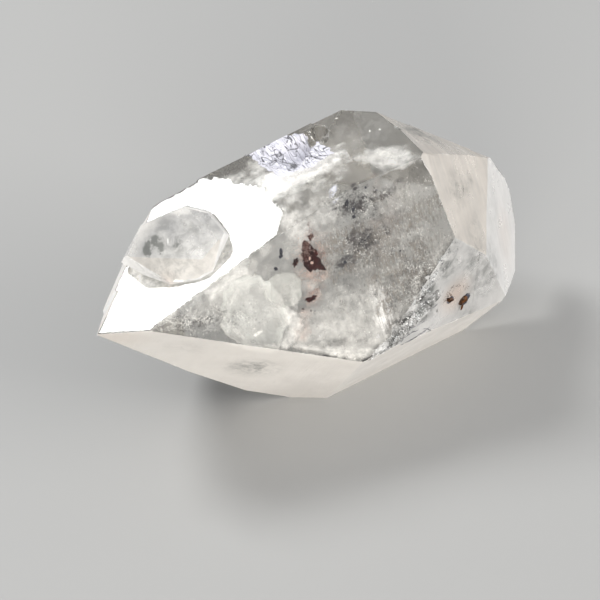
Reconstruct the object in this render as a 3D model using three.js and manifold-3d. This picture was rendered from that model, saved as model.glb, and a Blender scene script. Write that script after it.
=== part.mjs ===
// A double terminated quartz crystal lying on one of its prism faces, with a small crystal grown on its
// shoulder. Millimetres, +Z up, the long (c) axis along X with the sharp tip at -X, and the origin at the
// bottom centre of the bounding box.
import * as THREE from 'three';
import { ConvexGeometry } from 'three/addons/geometries/ConvexGeometry.js';
import { mergeVertices } from 'three/addons/utils/BufferGeometryUtils.js';
import Module from 'manifold-3d';

// --- Driving dimensions (mm and degrees) ---------------------------------------------------------

// Quartz has six prism faces round its long axis, a sixth of a turn apart, and a six-sided pyramid at each
// end. A face is [lean, turn, distance]: its normal leans this far from the +X end of the axis and is
// turned this far about the axis from the top (0) towards the front (90), and the face lies this far from
// the centre of the crystal. On an ideal crystal the prism leans 90, one pyramid 52 and the other 128.

const HOST_FACES = {
  // The prism tapers a little towards the sharp tip, so its upper faces lean past 90.
  prismTop: [98.5, 355, 8.25],
  prismFrontUpper: [101.5, 62, 6.75],
  prismFrontLower: [89, 120.5, 8.8],
  prismRest: [90, 180, 10.55],
  prismBackLower: [90, 240, 8.0],
  prismBackUpper: [90.5, 298.5, 7.6],
  // The sharp end: one broad bright face, one long low face, and stepped faces underneath.
  sharpBright: [110.5, 3.5, 8.3],
  sharpBrightCornerFront: [108, 6.5, 8.33],
  sharpBrightCornerTop: [106.5, 3.5, 8.26],
  sharpFront: [120.5, 121, 8.2],
  sharpBack: [129, 300, 11.75],
  sharpBackLow: [128, 240, 11.5],
  sharpUnderOuter: [136.5, 180.5, 11.35],
  sharpUnderMiddle: [132, 182, 11.05],
  sharpUnderInner: [113.5, 182.5, 10.9],
  // The blunt end: a regular pyramid, with worn facets that cut its apex and its lower front corner.
  bluntFront: [52, 56, 11.15],
  bluntFrontShoulder: [63, 51.5, 11.2],
  bluntTop: [51.5, 358, 11.8],
  bluntTopShoulder: [51, 351, 11.65],
  bluntBack: [54, 310, 10.05],
  bluntBackLow: [52, 240, 12.6],
  bluntUnder: [52, 180, 15.3],
  bluntFrontLow: [55.5, 134, 15.3],
  bluntFrontLowShoulder: [64, 126, 13.35],
  wornApex: [44, 67.5, 12.15],
  wornApexTop: [25, 321, 15.8],
  wornApexEnd: [12, 200, 20.4],
  brokenCorner: [79, 88, 8.75],
};

// The small crystal sits on the bright face, half sunk in it and overhanging the back of the tip. Its
// faces are given about its own axis.
const SMALL_CENTRE = new THREE.Vector3(-10.3, 1.15, 5.65);
const SMALL_AXIS = new THREE.Vector3(-0.36, -0.48, 0.8);
const SMALL_FACES = {
  sideTopLeft: [78, 296, 2.3],
  sideTop: [76, 257, 2.85],
  sideTopRight: [80, 225, 3.2],
  sideRight: [80, 164, 3.2],
  sideBottomRight: [76, 123, 3.1],
  sideBottom: [74, 98, 2.75],
  sideBottomLeft: [76, 65, 2.65],
  sideLeft: [80, 336, 2.85],
  roof: [8, 290, 1.45],
  roofFront: [27, 85, 1.95],
  roofRight: [38, 150, 2.75],
  roofBack: [30, 240, 2.25],
  roofLeft: [34, 330, 2.45],
  footLeft: [126, 332, 2.5],
  footFront: [124, 62, 2.6],
  footBack: [124, 268, 2.6],
  foot: [180, 0, 2.3],
};

// Shell-like flakes: each is cut by a stretched and turned faceted ball whose centre is near an edge.
// Turns and tumbles are in radians, and grow with the flake's number so that no two are alike.
const BALL_DETAIL = 1;

// The front edge beside the broken corner is crumbled by a row of small flakes.
const CRUMBLE_START = new THREE.Vector3(0.5, -9.1, -2.0);
const CRUMBLE_END = new THREE.Vector3(4.9, -8.65, 0.8);
const CRUMBLE_COUNT = 11;
const CRUMBLE_RADIUS = 0.6;
const CRUMBLE_RADIUS_SWING = 0.16;
const CRUMBLE_WANDER = 0.12;
const CRUMBLE_STRETCH = [1.3, 0.75, 1];
const CRUMBLE_BEAT = 2.4;
const CRUMBLE_TURN = 0.5;
const CRUMBLE_TUMBLE = 0.9;

// The upper back edge carries a rippled break: long scoops side by side, each a little smaller.
const RIPPLE_START = new THREE.Vector3(-1.6, 3.5, 8.45);
const RIPPLE_END = new THREE.Vector3(2.7, 3.3, 9.1);
const RIPPLE_COUNT = 7;
const RIPPLE_SIZE = [0.75, 3.1, 0.95];
const RIPPLE_SHRINK = 0.04;
const RIPPLE_HEADING = 24;
const RIPPLE_TUMBLE = 0.2;

// Single chips where edges meet: [x, y, z, radius].
const CHIP_STRETCH = [1, 0.8, 1.1];
const CHIP_TURN = 0.8;
const CHIP_TUMBLE = 0.6;
const CHIPS = {
  topEdge: [7.3, -0.4, 9.8, 0.55],
  topEdgeOuter: [8.4, 0.8, 9.35, 0.5],
  apexUpper: [18.5, 0.75, -2.3, 0.55],
  apexLower: [18.6, -2.2, -6.6, 0.6],
  ridgeBack: [-8.2, 7.9, 4.6, 0.6],
  tipUnder: [-13.6, -2.4, -1.6, 0.5],
};

// Growth bands: belts where the crystal grew a little thicker. Each belt lifts some faces by a small
// height between two planes across the long axis, which are given as faces are.
const GROWTH_BANDS = {
  backBelt: {
    lift: { prismBackLower: 0.16, prismBackUpper: 0.12 },
    between: [[168, 200, 5.2], [9, 40, 3.4]],
  },
  backShelf: {
    lift: { prismBackLower: 0.3 },
    between: [[172, 120, 1.6], [24, 250, 6.4]],
  },
  upperBackShelf: {
    lift: { prismBackUpper: 0.24 },
    between: [[160, 30, 3.6], [12, 300, -0.6]],
  },
  tipShelf: {
    lift: { sharpBackLow: 0.2, sharpBack: 0.16 },
    between: [[176, 0, 15.2], [22, 90, -8.6]],
  },
  endShelf: {
    lift: { bluntBackLow: 0.22, bluntBack: 0.14 },
    between: [[158, 240, -9.6], [4, 0, 14.2]],
  },
};

const QUARTZ = { color: 0xe9e8e2, roughness: 0.08, metalness: 0 };

// --- Solids --------------------------------------------------------------------------------------

const wasm = await Module();
wasm.setup();

const INSIDE_TOLERANCE = 1e-7;
const PARALLEL_LIMIT = 1e-6;
const WELD_TOLERANCE = 1e-5;
const LONG_AXIS = new THREE.Vector3(1, 0, 0);

// A plane from its lean, turn and distance, facing away from the centre.
function facePlane([lean, turn, distance]) {
  const leanAngle = THREE.MathUtils.degToRad(lean);
  const turnAngle = THREE.MathUtils.degToRad(turn);
  const normal = new THREE.Vector3(
    Math.cos(leanAngle),
    -Math.sin(leanAngle) * Math.sin(turnAngle),
    Math.sin(leanAngle) * Math.cos(turnAngle),
  );
  return new THREE.Plane(normal, -distance);
}

// The point where three planes meet, or null where two of them are nearly parallel.
function meetingPoint(a, b, c) {
  const bc = new THREE.Vector3().crossVectors(b.normal, c.normal);
  const determinant = a.normal.dot(bc);
  if (Math.abs(determinant) < PARALLEL_LIMIT) return null;
  const ca = new THREE.Vector3().crossVectors(c.normal, a.normal);
  const ab = new THREE.Vector3().crossVectors(a.normal, b.normal);
  return bc.multiplyScalar(-a.constant)
    .addScaledVector(ca, -b.constant)
    .addScaledVector(ab, -c.constant)
    .divideScalar(determinant);
}

// The corners of the crystal that a set of faces encloses: the meeting points that lie behind every face.
function cornersOf(planes) {
  const corners = [];
  for (let i = 0; i < planes.length; i += 1) {
    for (let j = i + 1; j < planes.length; j += 1) {
      for (let k = j + 1; k < planes.length; k += 1) {
        const corner = meetingPoint(planes[i], planes[j], planes[k]);
        const isCorner = corner
          && planes.every((plane) => plane.distanceToPoint(corner) < INSIDE_TOLERANCE);
        if (isCorner) corners.push(corner);
      }
    }
  }
  return corners;
}

// A closed solid for joining and cutting, from any closed three.js geometry.
function solidOf(geometry) {
  const bare = geometry.clone();
  bare.deleteAttribute('normal');
  bare.deleteAttribute('uv');
  const merged = mergeVertices(bare, WELD_TOLERANCE);
  return new wasm.Manifold(new wasm.Mesh({
    numProp: 3,
    vertProperties: new Float32Array(merged.attributes.position.array),
    triVerts: new Uint32Array(merged.index.array),
  }));
}

function crystalGeometry(faces) {
  return new ConvexGeometry(cornersOf(faces.map(facePlane)));
}

function hostCrystal() {
  return solidOf(crystalGeometry(Object.values(HOST_FACES)));
}

function smallCrystal() {
  const towardsAxis = new THREE.Quaternion().setFromUnitVectors(
    LONG_AXIS,
    SMALL_AXIS.clone().normalize(),
  );
  const geometry = crystalGeometry(Object.values(SMALL_FACES));
  geometry.applyQuaternion(towardsAxis);
  geometry.translate(...SMALL_CENTRE.toArray());
  return solidOf(geometry);
}

// A faceted ball, stretched and turned, whose cut leaves a shell-like hollow.
function scoop(centre, size, heading, tumble) {
  const geometry = new THREE.IcosahedronGeometry(1, BALL_DETAIL);
  geometry.scale(...size);
  geometry.rotateX(tumble);
  geometry.rotateZ(heading);
  geometry.translate(...centre.toArray());
  return solidOf(geometry);
}

function crumbledEdge() {
  return Array.from({ length: CRUMBLE_COUNT }, (_, i) => {
    const share = i / (CRUMBLE_COUNT - 1);
    const radius = CRUMBLE_RADIUS + CRUMBLE_RADIUS_SWING * Math.sin(CRUMBLE_BEAT * i);
    const centre = new THREE.Vector3().lerpVectors(CRUMBLE_START, CRUMBLE_END, share);
    centre.y += CRUMBLE_WANDER * Math.cos(CRUMBLE_BEAT * i);
    const size = CRUMBLE_STRETCH.map((stretch) => stretch * radius);
    return scoop(centre, size, CRUMBLE_TURN * i, CRUMBLE_TUMBLE * i);
  });
}

function rippledBreak() {
  const heading = THREE.MathUtils.degToRad(RIPPLE_HEADING);
  return Array.from({ length: RIPPLE_COUNT }, (_, i) => {
    const centre = new THREE.Vector3().lerpVectors(RIPPLE_START, RIPPLE_END, i / (RIPPLE_COUNT - 1));
    const size = RIPPLE_SIZE.map((length) => length * (1 - RIPPLE_SHRINK * i));
    return scoop(centre, size, heading, RIPPLE_TUMBLE * i);
  });
}

function edgeChips() {
  return Object.values(CHIPS).map(([x, y, z, radius], i) => {
    const size = CHIP_STRETCH.map((stretch) => stretch * radius);
    return scoop(new THREE.Vector3(x, y, z), size, CHIP_TURN * i, CHIP_TUMBLE * i);
  });
}

function growthBands() {
  return Object.values(GROWTH_BANDS).map(({ lift, between }) => {
    const faces = Object.entries(HOST_FACES).map(([name, [lean, turn, distance]]) => (
      [lean, turn, distance + (lift[name] ?? 0)]
    ));
    return solidOf(crystalGeometry([...faces, ...between]));
  });
}

// --- The part ------------------------------------------------------------------------------------

function quartzSolid() {
  let solid = hostCrystal();
  for (const grown of growthBands()) solid = solid.add(grown);
  for (const lost of [...crumbledEdge(), ...rippledBreak(), ...edgeChips()]) solid = solid.subtract(lost);
  return solid.add(smallCrystal());
}

function quartzMesh() {
  const { vertProperties, triVerts } = quartzSolid().getMesh();
  const geometry = new THREE.BufferGeometry();
  geometry.setAttribute('position', new THREE.BufferAttribute(new Float32Array(vertProperties), 3));
  geometry.setIndex(new THREE.BufferAttribute(new Uint32Array(triVerts), 1));
  geometry.computeBoundingBox();
  const { min, max } = geometry.boundingBox;
  geometry.translate(-(min.x + max.x) / 2, -(min.y + max.y) / 2, -min.z);
  geometry.computeVertexNormals();
  const mesh = new THREE.Mesh(geometry, new THREE.MeshStandardMaterial(QUARTZ));
  mesh.name = 'quartz_crystal';
  return mesh;
}

const part = new THREE.Group();
part.add(quartzMesh());

export default part;
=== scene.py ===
# %% [markdown]
# # A double terminated quartz crystal
# The object is one stubby quartz crystal, about 36 mm long, with a point at each end and a small crystal
# grown on its shoulder. Its form comes from the imported solid. This file gives that form its skin, its clear
# body and everything that was trapped in it while it grew: iron flakes, milky haze, grit, dark dust, amber
# drops and the pale rounded ghost of an earlier growth.
#
# The imported model is loaded first. Its box is kept.

import bpy
import numpy as np
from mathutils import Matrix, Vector


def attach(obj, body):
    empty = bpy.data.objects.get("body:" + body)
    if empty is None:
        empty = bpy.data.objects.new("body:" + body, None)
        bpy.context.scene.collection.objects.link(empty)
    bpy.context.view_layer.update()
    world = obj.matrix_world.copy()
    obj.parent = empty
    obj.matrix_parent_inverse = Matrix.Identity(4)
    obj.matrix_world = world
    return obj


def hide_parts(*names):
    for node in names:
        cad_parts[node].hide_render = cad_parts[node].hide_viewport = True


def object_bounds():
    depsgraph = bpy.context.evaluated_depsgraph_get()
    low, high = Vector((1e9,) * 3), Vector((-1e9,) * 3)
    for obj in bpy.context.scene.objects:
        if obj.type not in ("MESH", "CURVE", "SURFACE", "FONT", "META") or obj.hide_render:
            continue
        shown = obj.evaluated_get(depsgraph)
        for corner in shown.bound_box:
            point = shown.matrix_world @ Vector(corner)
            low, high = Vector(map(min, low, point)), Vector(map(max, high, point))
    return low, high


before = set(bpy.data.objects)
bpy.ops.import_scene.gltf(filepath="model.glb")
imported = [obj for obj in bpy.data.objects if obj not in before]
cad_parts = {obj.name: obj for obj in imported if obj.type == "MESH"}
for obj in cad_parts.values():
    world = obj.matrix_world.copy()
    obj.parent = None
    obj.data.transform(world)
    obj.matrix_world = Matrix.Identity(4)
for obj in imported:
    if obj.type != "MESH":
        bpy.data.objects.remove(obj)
cad_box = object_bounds()

MM = 0.001
NODE = "quartz_crystal"
print("packed crystal, mm:", [round(c / MM, 2) for corner in cad_box for c in corner])

# %% [markdown]
# ## The viewpoint
# The crystal is seen from its front left, 44 degrees above the table, through a long lens. A long lens
# keeps the edges of a small thing nearly parallel. The camera could be placed and turned by hand, but it is
# easier to trust when it follows from two points: where it stands and what it looks at.

# %% Camera
LOOK_AT = Vector((-2.06, -1.48, 8.38)) * MM
CAMERA_PLACE = Vector((-74.0, -112.6, 140.8)) * MM
LENS_MM, SENSOR_MM = 156, 36
NEAREST_M, FURTHEST_M = 0.01, 10

camera_data = bpy.data.cameras.new("camera")
camera_data.lens, camera_data.sensor_width = LENS_MM, SENSOR_MM
camera_data.clip_start, camera_data.clip_end = NEAREST_M, FURTHEST_M
camera = bpy.data.objects.new("camera", camera_data)
camera.location = CAMERA_PLACE
camera.rotation_mode = "QUATERNION"
camera.rotation_quaternion = (LOOK_AT - CAMERA_PLACE).to_track_quat("-Z", "Y")
bpy.context.scene.collection.objects.link(camera)
bpy.context.scene.camera = camera
print("camera distance, mm:", round((LOOK_AT - CAMERA_PLACE).length / MM, 1))

# %% [markdown]
# ## The studio
# A clear stone shows mostly what is round it, so the light is part of its look. Bare lamps would leave hard
# glints. So one softbox hangs behind and above, just where the broad face at the sharp end mirrors it
# towards the camera. Two dim, slightly warm panels stand in front, for the frosted faces. The rest is an
# even grey, so that the clear faces stay darker than the bright one.

# %% Plain materials and the floor
FLOOR_SIZE = 2.4
FLOOR_COLOUR = (0.44, 0.44, 0.43, 1)
FLOOR_ROUGHNESS = 0.7


def set_inputs(node, values):
    """Puts plain values into a node's inputs, by name."""
    for name, value in values.items():
        node.inputs[name].default_value = value


def plain_material(name, colour, roughness):
    """A principled material of one colour, to which detail is added later, and its shader."""
    material = bpy.data.materials.new(name)
    material.use_nodes = True
    shader = material.node_tree.nodes["Principled BSDF"]
    set_inputs(shader, {"Base Color": colour, "Roughness": roughness})
    return material, shader


half = FLOOR_SIZE / 2
floor_corners = [(-half, -half, 0), (half, -half, 0), (half, half, 0), (-half, half, 0)]
floor_mesh = bpy.data.meshes.new("floor")
floor_mesh.from_pydata(floor_corners, [], [(0, 1, 2, 3)])
floor_mesh.materials.append(plain_material("pale_floor", FLOOR_COLOUR, FLOOR_ROUGHNESS)[0])
floor = bpy.data.objects.new("floor", floor_mesh)
bpy.context.scene.collection.objects.link(floor)
print("floor, m:", FLOOR_SIZE, "square")

# %% Softboxes
SOFTBOXES = {
    # name: (direction, distance in m, width and height in m, power in W, colour)
    "window_softbox": ((-0.306, 0.552, 0.789), 0.5, (0.15, 0.15), 1.5, (1, 1, 1)),
    "front_left_panel": ((-0.62, -0.75, 0.2), 0.6, (0.34, 0.16), 2.9, (1, 0.97, 0.93)),
    "front_right_panel": ((0.78, -0.6, 0.25), 0.6, (0.34, 0.16), 2.9, (1, 0.97, 0.94)),
}


def softbox(name, towards, distance, size, power, colour):
    """A flat lamp at this distance from the crystal, in this direction, facing it."""
    data = bpy.data.lights.new(name, "AREA")
    data.shape = "RECTANGLE"
    data.size, data.size_y = size
    data.energy, data.color = power, colour
    lamp = bpy.data.objects.new(name, data)
    aim = Vector(towards).normalized()
    lamp.location = LOOK_AT + aim * distance
    lamp.rotation_mode = "QUATERNION"
    lamp.rotation_quaternion = aim.to_track_quat("Z", "Y")
    bpy.context.scene.collection.objects.link(lamp)


for name, values in SOFTBOXES.items():
    softbox(name, *values)
print("softboxes:", len(SOFTBOXES))

# %% Surroundings
SURROUND_COLOUR = (0.42, 0.43, 0.45, 1)
SHEETS_SEEN_THROUGH = 32

world = bpy.data.worlds.new("surroundings")
world.use_nodes = True
set_inputs(world.node_tree.nodes["Background"], {"Color": SURROUND_COLOUR})
scene = bpy.context.scene
scene.world = world
scene.view_settings.view_transform = "Standard"
scene.cycles.caustics_refractive = False
scene.cycles.transparent_max_bounces = SHEETS_SEEN_THROUGH
print("surroundings:", SURROUND_COLOUR[:3])

# %% [markdown]
# ## The skin
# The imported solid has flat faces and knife-sharp edges. A real crystal has neither: its faces carry low
# growth waves, and its edges are slightly rounded and nicked. Bevels would fail on the tiny flakes of the
# broken edges, so the skin is refined instead. Long edges are halved again and again until the triangles
# are small, and smallest along the ridges and in the breaks. Then the points can be moved.

# %% Where the skin needs small triangles
RIDGE_ANGLE = np.radians(24)
RIDGE_STEP = 0.16
FACE_STEP = 0.62
BREAK_STEP = 0.13
FINE_STEP = 0.2
RIPPLED, CRUMBLY = "rippled_break", "crumbled_edge"
RIPPLED_OUTLINE = [(-2.2, 0.9), (0.2, 0.4), (2.1, 0.2), (2.0, 1.4), (1.7, 3.4), (-0.2, 4.8), (-2.6, 4.5)]
HACKLES = {
    # name: (start, end, reach, depth of the furrows in mm, spacing in mm)
    RIPPLED: ((-1.2, 3.1, 18.6), (1.2, 1.7, 19.1), 2.3, 0.05, 0.8),
    CRUMBLY: ((-0.4, -8.9, 8.0), (5.35, -8.07, 9.95), 0.95, 0.12, 0.4),
}
FINE_SPOTS = {
    # name: (start, end, reach), where smudges and painted shade need small triangles
    "small_window": ((-12.4, 1.2, 17.2), (-10.4, -0.2, 17.2), 1.5),
    "low_face": ((-8.4, -3.6, 6.6), (-6.8, -4.2, 6.2), 2.4),
    "corner": ((7.0, -7.3, 14.0), (4.0, -8.2, 10.4), 1.6),
}
print("breaks:", len(HACKLES), "fine spots:", len(FINE_SPOTS))

# %% Directions, easing and nearness


def unit(vectors):
    """Vectors scaled to length one."""
    return vectors / np.maximum(np.linalg.norm(vectors, axis=-1, keepdims=True), 1e-12)


def eased(share):
    """Three times the square less twice the cube: from zero to one, level at both ends."""
    return share * share * (3 - 2 * share)


def nearness(points, start, end, reach):
    """One on the line from start to end, falling smoothly to zero at this reach from it."""
    start, along = np.array(start), np.subtract(end, start)
    share = np.clip((points - start) @ along / (along @ along), 0, 1)
    away = np.linalg.norm(points - start - share[:, None] * along, axis=1)
    return eased(np.clip(1 - away / reach, 0, 1))


def inside_outline(points, outline):
    """How far points lie inside an outline on the table plane: the least distance to its sides."""
    corners = np.array(outline)
    sides = unit(np.roll(corners, -1, axis=0) - corners)
    inwards = np.stack([-sides[:, 1], sides[:, 0]], axis=1)
    return ((points[:, None, :2] - corners) * inwards).sum(axis=2).min(axis=1)


print("halfway along the easing:", eased(0.5))

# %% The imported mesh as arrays


def packed_arrays(node):
    """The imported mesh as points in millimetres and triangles, with its doubles merged."""
    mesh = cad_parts[node].data
    mesh.calc_loop_triangles()
    loose = np.empty(len(mesh.vertices) * 3)
    mesh.vertices.foreach_get("co", loose)
    corners = np.empty(len(mesh.loop_triangles) * 3, dtype=np.int32)
    mesh.loop_triangles.foreach_get("vertices", corners)
    points, place = np.unique(np.round(loose.reshape(-1, 3) / MM, 4), axis=0, return_inverse=True)
    triangles = place.ravel()[corners].reshape(-1, 3)
    three_corners = (np.diff(np.sort(triangles, axis=1), axis=1) > 0).all(axis=1)
    return points, triangles[three_corners]


def triangle_normals(points, triangles):
    """The unit normal of each triangle, by the cross product of two of its sides."""
    a, b, c = (points[triangles[:, i]] for i in range(3))
    return unit(np.cross(b - a, c - a))


cad_points, cad_triangles = packed_arrays(NODE)
print("packed mesh:", len(cad_points), "points,", len(cad_triangles), "triangles")

# %% Edges and ridges


def edges_of(triangles):
    """Each edge once, as a pair of points, and for each triangle the numbers of its three edges."""
    pairs = np.sort(triangles[:, [0, 1, 1, 2, 2, 0]].reshape(-1, 2), axis=1)
    edges, number = np.unique(pairs, axis=0, return_inverse=True)
    return edges, number.reshape(-1, 3)


def sharp_edges(points, triangles, angle):
    """The edges whose two triangles turn from each other by more than this angle.

    Two unit normals that differ by an angle add up to twice the cosine of its half.
    """
    edges, number = edges_of(triangles)
    normals = triangle_normals(points, triangles)
    total = np.zeros((len(edges), 3))
    np.add.at(total, number.ravel(), np.repeat(normals, 3, axis=0))
    return edges[np.linalg.norm(total, axis=1) < 2 * np.cos(angle / 2)]


def keys_of(edges):
    """One whole number for each edge, so that edges can be looked up."""
    return edges.min(axis=1).astype(np.int64) << 32 | edges.max(axis=1).astype(np.int64)


ridges = sharp_edges(cad_points, cad_triangles, RIDGE_ANGLE)
print("ridge edges:", len(ridges))

# %% Cut triangles at their edges' middles


def split_triangles(triangles, middles, parent):
    """Cuts each triangle at the middles of its edges: into two, three or four, or not at all."""
    cuts = (middles >= 0).sum(axis=1)
    first = np.where(cuts == 1, (middles >= 0).argmax(axis=1), 0)
    first = np.where(cuts == 2, ((middles < 0).argmax(axis=1) + 1) % 3, first)
    order = (first[:, None] + np.arange(3)) % 3
    v = np.take_along_axis(triangles, order, axis=1).T
    m = np.take_along_axis(middles, order, axis=1).T
    pieces = {
        0: [(v[0], v[1], v[2])],
        1: [(v[0], m[0], v[2]), (m[0], v[1], v[2])],
        2: [(m[0], v[1], m[1]), (v[0], m[0], m[1]), (v[0], m[1], v[2])],
        3: [(v[0], m[0], m[2]), (m[0], v[1], m[1]), (m[2], m[1], v[2]), (m[0], m[1], m[2])],
    }
    made, parents = [], []
    for count, corners in pieces.items():
        chosen = cuts == count
        for corner in corners:
            made.append(np.stack(corner, axis=1)[chosen])
            parents.append(parent[chosen])
    return np.vstack(made), np.concatenate(parents)


halved = split_triangles(np.array([[0, 1, 2]]), np.array([[3, -1, -1]]), np.array([0]))[0]
print("one triangle with one edge halved:", halved.tolist())

# %% Refine the skin


def longest_allowed(middles, by_ridge):
    """The longest edge allowed at each place, in millimetres."""
    limit = np.where(by_ridge, RIDGE_STEP, FACE_STEP)
    for start, end, reach, *_ in HACKLES.values():
        limit = np.where(nearness(middles, start, end, reach) > 0, BREAK_STEP, limit)
    for start, end, reach in FINE_SPOTS.values():
        limit = np.where(nearness(middles, start, end, reach) > 0, np.minimum(limit, FINE_STEP), limit)
    return limit


def refined(points, triangles, ridges):
    """Halves the longest edge of every triangle that is too large, until none is, and keeps the ridges."""
    parent = np.arange(len(triangles))
    ridge_keys = keys_of(ridges)
    on_ridge = np.zeros(len(points), dtype=bool)
    on_ridge[ridges.ravel()] = True
    while True:
        edges, number = edges_of(triangles)
        ends = points[edges]
        length = np.linalg.norm(ends[:, 0] - ends[:, 1], axis=1)
        is_longest = np.zeros(len(edges), dtype=bool)
        is_longest[number[np.arange(len(triangles)), length[number].argmax(axis=1)]] = True
        cut = is_longest & (length > longest_allowed(ends.mean(axis=1), on_ridge[edges].any(axis=1)))
        if not cut.any():
            return points, triangles, parent, on_ridge
        middle = np.full(len(edges), -1)
        middle[cut] = len(points) + np.arange(cut.sum())
        points = np.vstack([points, ends[cut].mean(axis=1)])
        cut_ridge = np.isin(keys_of(edges), ridge_keys) & cut
        on_ridge = np.append(on_ridge, cut_ridge[cut])
        halves = [np.stack([edges[cut_ridge, end], middle[cut_ridge]], axis=1) for end in (0, 1)]
        ridge_keys = np.append(ridge_keys, keys_of(np.vstack(halves)))
        triangles, parent = split_triangles(triangles, middle[number], parent)


skin_points, skin_triangles, skin_parent, skin_ridge = refined(cad_points, cad_triangles, ridges)
print("skin:", len(cad_triangles), "triangles split into", len(skin_triangles))

# %% [markdown]
# ## Which face is which
# Each face of the crystal has its own finish: the broad one at the sharp end is a mirror, the upper prism
# faces are clear, and the low and outer faces are frosted by etching. Triangles could be picked by hand,
# but a face is also known by its lean from the long axis, its turn about it and its distance from the
# centre. So arithmetic tells them apart. What lies on no face is either a break or the small crystal.

# %% The faces and their finishes
CENTRE = np.array([-0.316, -0.102, 10.55])
CLEAR, SATIN, FROSTED, BROKEN, MILKY, CRUMBLED, CHALKY = range(7)
DISTANCE, FINISH, ROUGHNESS = range(2, 5)
UPPER, CORNER = "prism_front_upper", "broken_corner"
FACES = {
    # name: (lean, turn, distance, finish, roughness, growth wave in mm, warmth, streaks)
    "prism_top": (98.5, 355, 8.25, CLEAR, 0.06, 0.012, 0.0, 0.15),
    UPPER: (101.5, 62, 6.75, CLEAR, 0.1, 0.014, 0.15, 0.4),
    "prism_front_lower": (89, 120.5, 8.8, FROSTED, 0.42, 0.01, 0.45, 0.2),
    "prism_rest": (90, 180, 10.55, CLEAR, 0.3, 0.0, 0.0, 0.0),
    "prism_back_lower": (90, 240, 8.0, CLEAR, 0.28, 0.015, 0.0, 0.0),
    "prism_back_upper": (90.5, 298.5, 7.6, CLEAR, 0.22, 0.015, 0.0, 0.0),
    "sharp_bright": (110.5, 3.5, 8.3, CLEAR, 0.0, 0.002, 0.0, 0.0),
    "sharp_bright_corner_front": (108, 6.5, 8.33, CLEAR, 0.12, 0.012, 0.0, 0.0),
    "sharp_bright_corner_top": (106.5, 3.5, 8.26, CLEAR, 0.12, 0.012, 0.0, 0.0),
    "sharp_front": (120.5, 121, 8.2, FROSTED, 0.45, 0.01, 0.55, 0.1),
    "sharp_back": (129, 300, 11.75, CHALKY, 0.6, 0.012, 0.4, 0.2),
    "sharp_back_low": (128, 240, 11.5, SATIN, 0.3, 0.012, 0.0, 0.2),
    "sharp_under_outer": (136.5, 180.5, 11.35, CLEAR, 0.3, 0.01, 0.2, 0.0),
    "sharp_under_middle": (132, 182, 11.05, CLEAR, 0.3, 0.01, 0.2, 0.0),
    "sharp_under_inner": (113.5, 182.5, 10.9, CLEAR, 0.3, 0.01, 0.2, 0.0),
    "blunt_front": (52, 56, 11.15, SATIN, 0.34, 0.02, 0.8, 0.6),
    "blunt_front_shoulder": (63, 51.5, 11.2, SATIN, 0.3, 0.02, 0.8, 0.6),
    "blunt_top": (51.5, 358, 11.8, SATIN, 0.3, 0.02, 0.9, 0.9),
    "blunt_top_shoulder": (51, 351, 11.65, SATIN, 0.3, 0.02, 0.9, 0.9),
    "blunt_back": (54, 310, 10.05, CLEAR, 0.3, 0.02, 0.1, 0.0),
    "blunt_back_low": (52, 240, 12.6, CLEAR, 0.35, 0.02, 0.1, 0.0),
    "blunt_under": (52, 180, 15.3, CLEAR, 0.35, 0.01, 0.1, 0.0),
    "blunt_front_low": (55.5, 134, 15.3, FROSTED, 0.4, 0.02, 0.4, 0.2),
    "blunt_front_low_shoulder": (64, 126, 13.35, FROSTED, 0.4, 0.02, 0.4, 0.2),
    "worn_apex": (44, 67.5, 12.15, FROSTED, 0.35, 0.03, 0.0, 0.4),
    "worn_apex_top": (25, 321, 15.8, FROSTED, 0.35, 0.03, 0.1, 0.8),
    "worn_apex_end": (12, 200, 20.4, FROSTED, 0.35, 0.03, 0.8, 0.4),
    CORNER: (79, 88, 8.75, MILKY, 0.3, 0.05, 0.1, 0.2),
}
print("faces:", len(FACES))

# %% The small crystal and the breaks
SMALL_CENTRE = CENTRE + (-10.3, 1.15, 5.65)
SMALL_REACH = 4.8
SMALL_AXIS = np.array([-0.36, -0.48, 0.8])
# finish, roughness, growth wave in mm, warmth and streaks, as in the table above
SMALL_FINISH = (MILKY, 0.3, 0.012, 0.05, 0.1)
BREAK_FINISH = (CLEAR, 0.06, 0.03, 0.0, 0.0)
SMALL_WALL_COSINE = 0.55
SMALL_LOW_COSINE = 0.6
SMALL_LOW_WARMTH, SMALL_LOW_ROUGHNESS = 0.5, 0.75
TIP_STEPS_END = -12.0
SMALL, BREAK = -2, -1
print("small crystal, mm:", SMALL_CENTRE.round(2).tolist())

# %% Directions of the faces, and depth below them
DEEPEST_STEP = 0.34
ALIGNED_COSINE = 0.9995


def face_direction(lean, turn):
    """Leans this far from the long axis and is turned this far about it from the top to the front."""
    lean, turn = np.radians(lean), np.radians(turn)
    return np.array([np.cos(lean), -np.sin(lean) * np.sin(turn), np.sin(lean) * np.cos(turn)])


face_names = list(FACES)
face_normals = np.array([face_direction(*FACES[name][:DISTANCE]) for name in face_names])
face_distances = np.array([FACES[name][DISTANCE] for name in face_names])
face_is_milky = np.array([FACES[name][FINISH] != CLEAR for name in face_names])


def depths(points):
    """How far points lie behind each face of the crystal, in millimetres."""
    return face_distances - (points - CENTRE) @ face_normals.T


def depth_inside(points):
    """How far points lie behind the nearest face."""
    return depths(points).min(axis=1)


def depth_below_milky(points):
    """How far points lie behind the nearest face that isn't clear."""
    return depths(points)[:, face_is_milky].min(axis=1)


print("depth of the centre, mm:", round(float(depth_inside(CENTRE[None])[0]), 2))

# %% Name the face of each triangle


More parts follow.
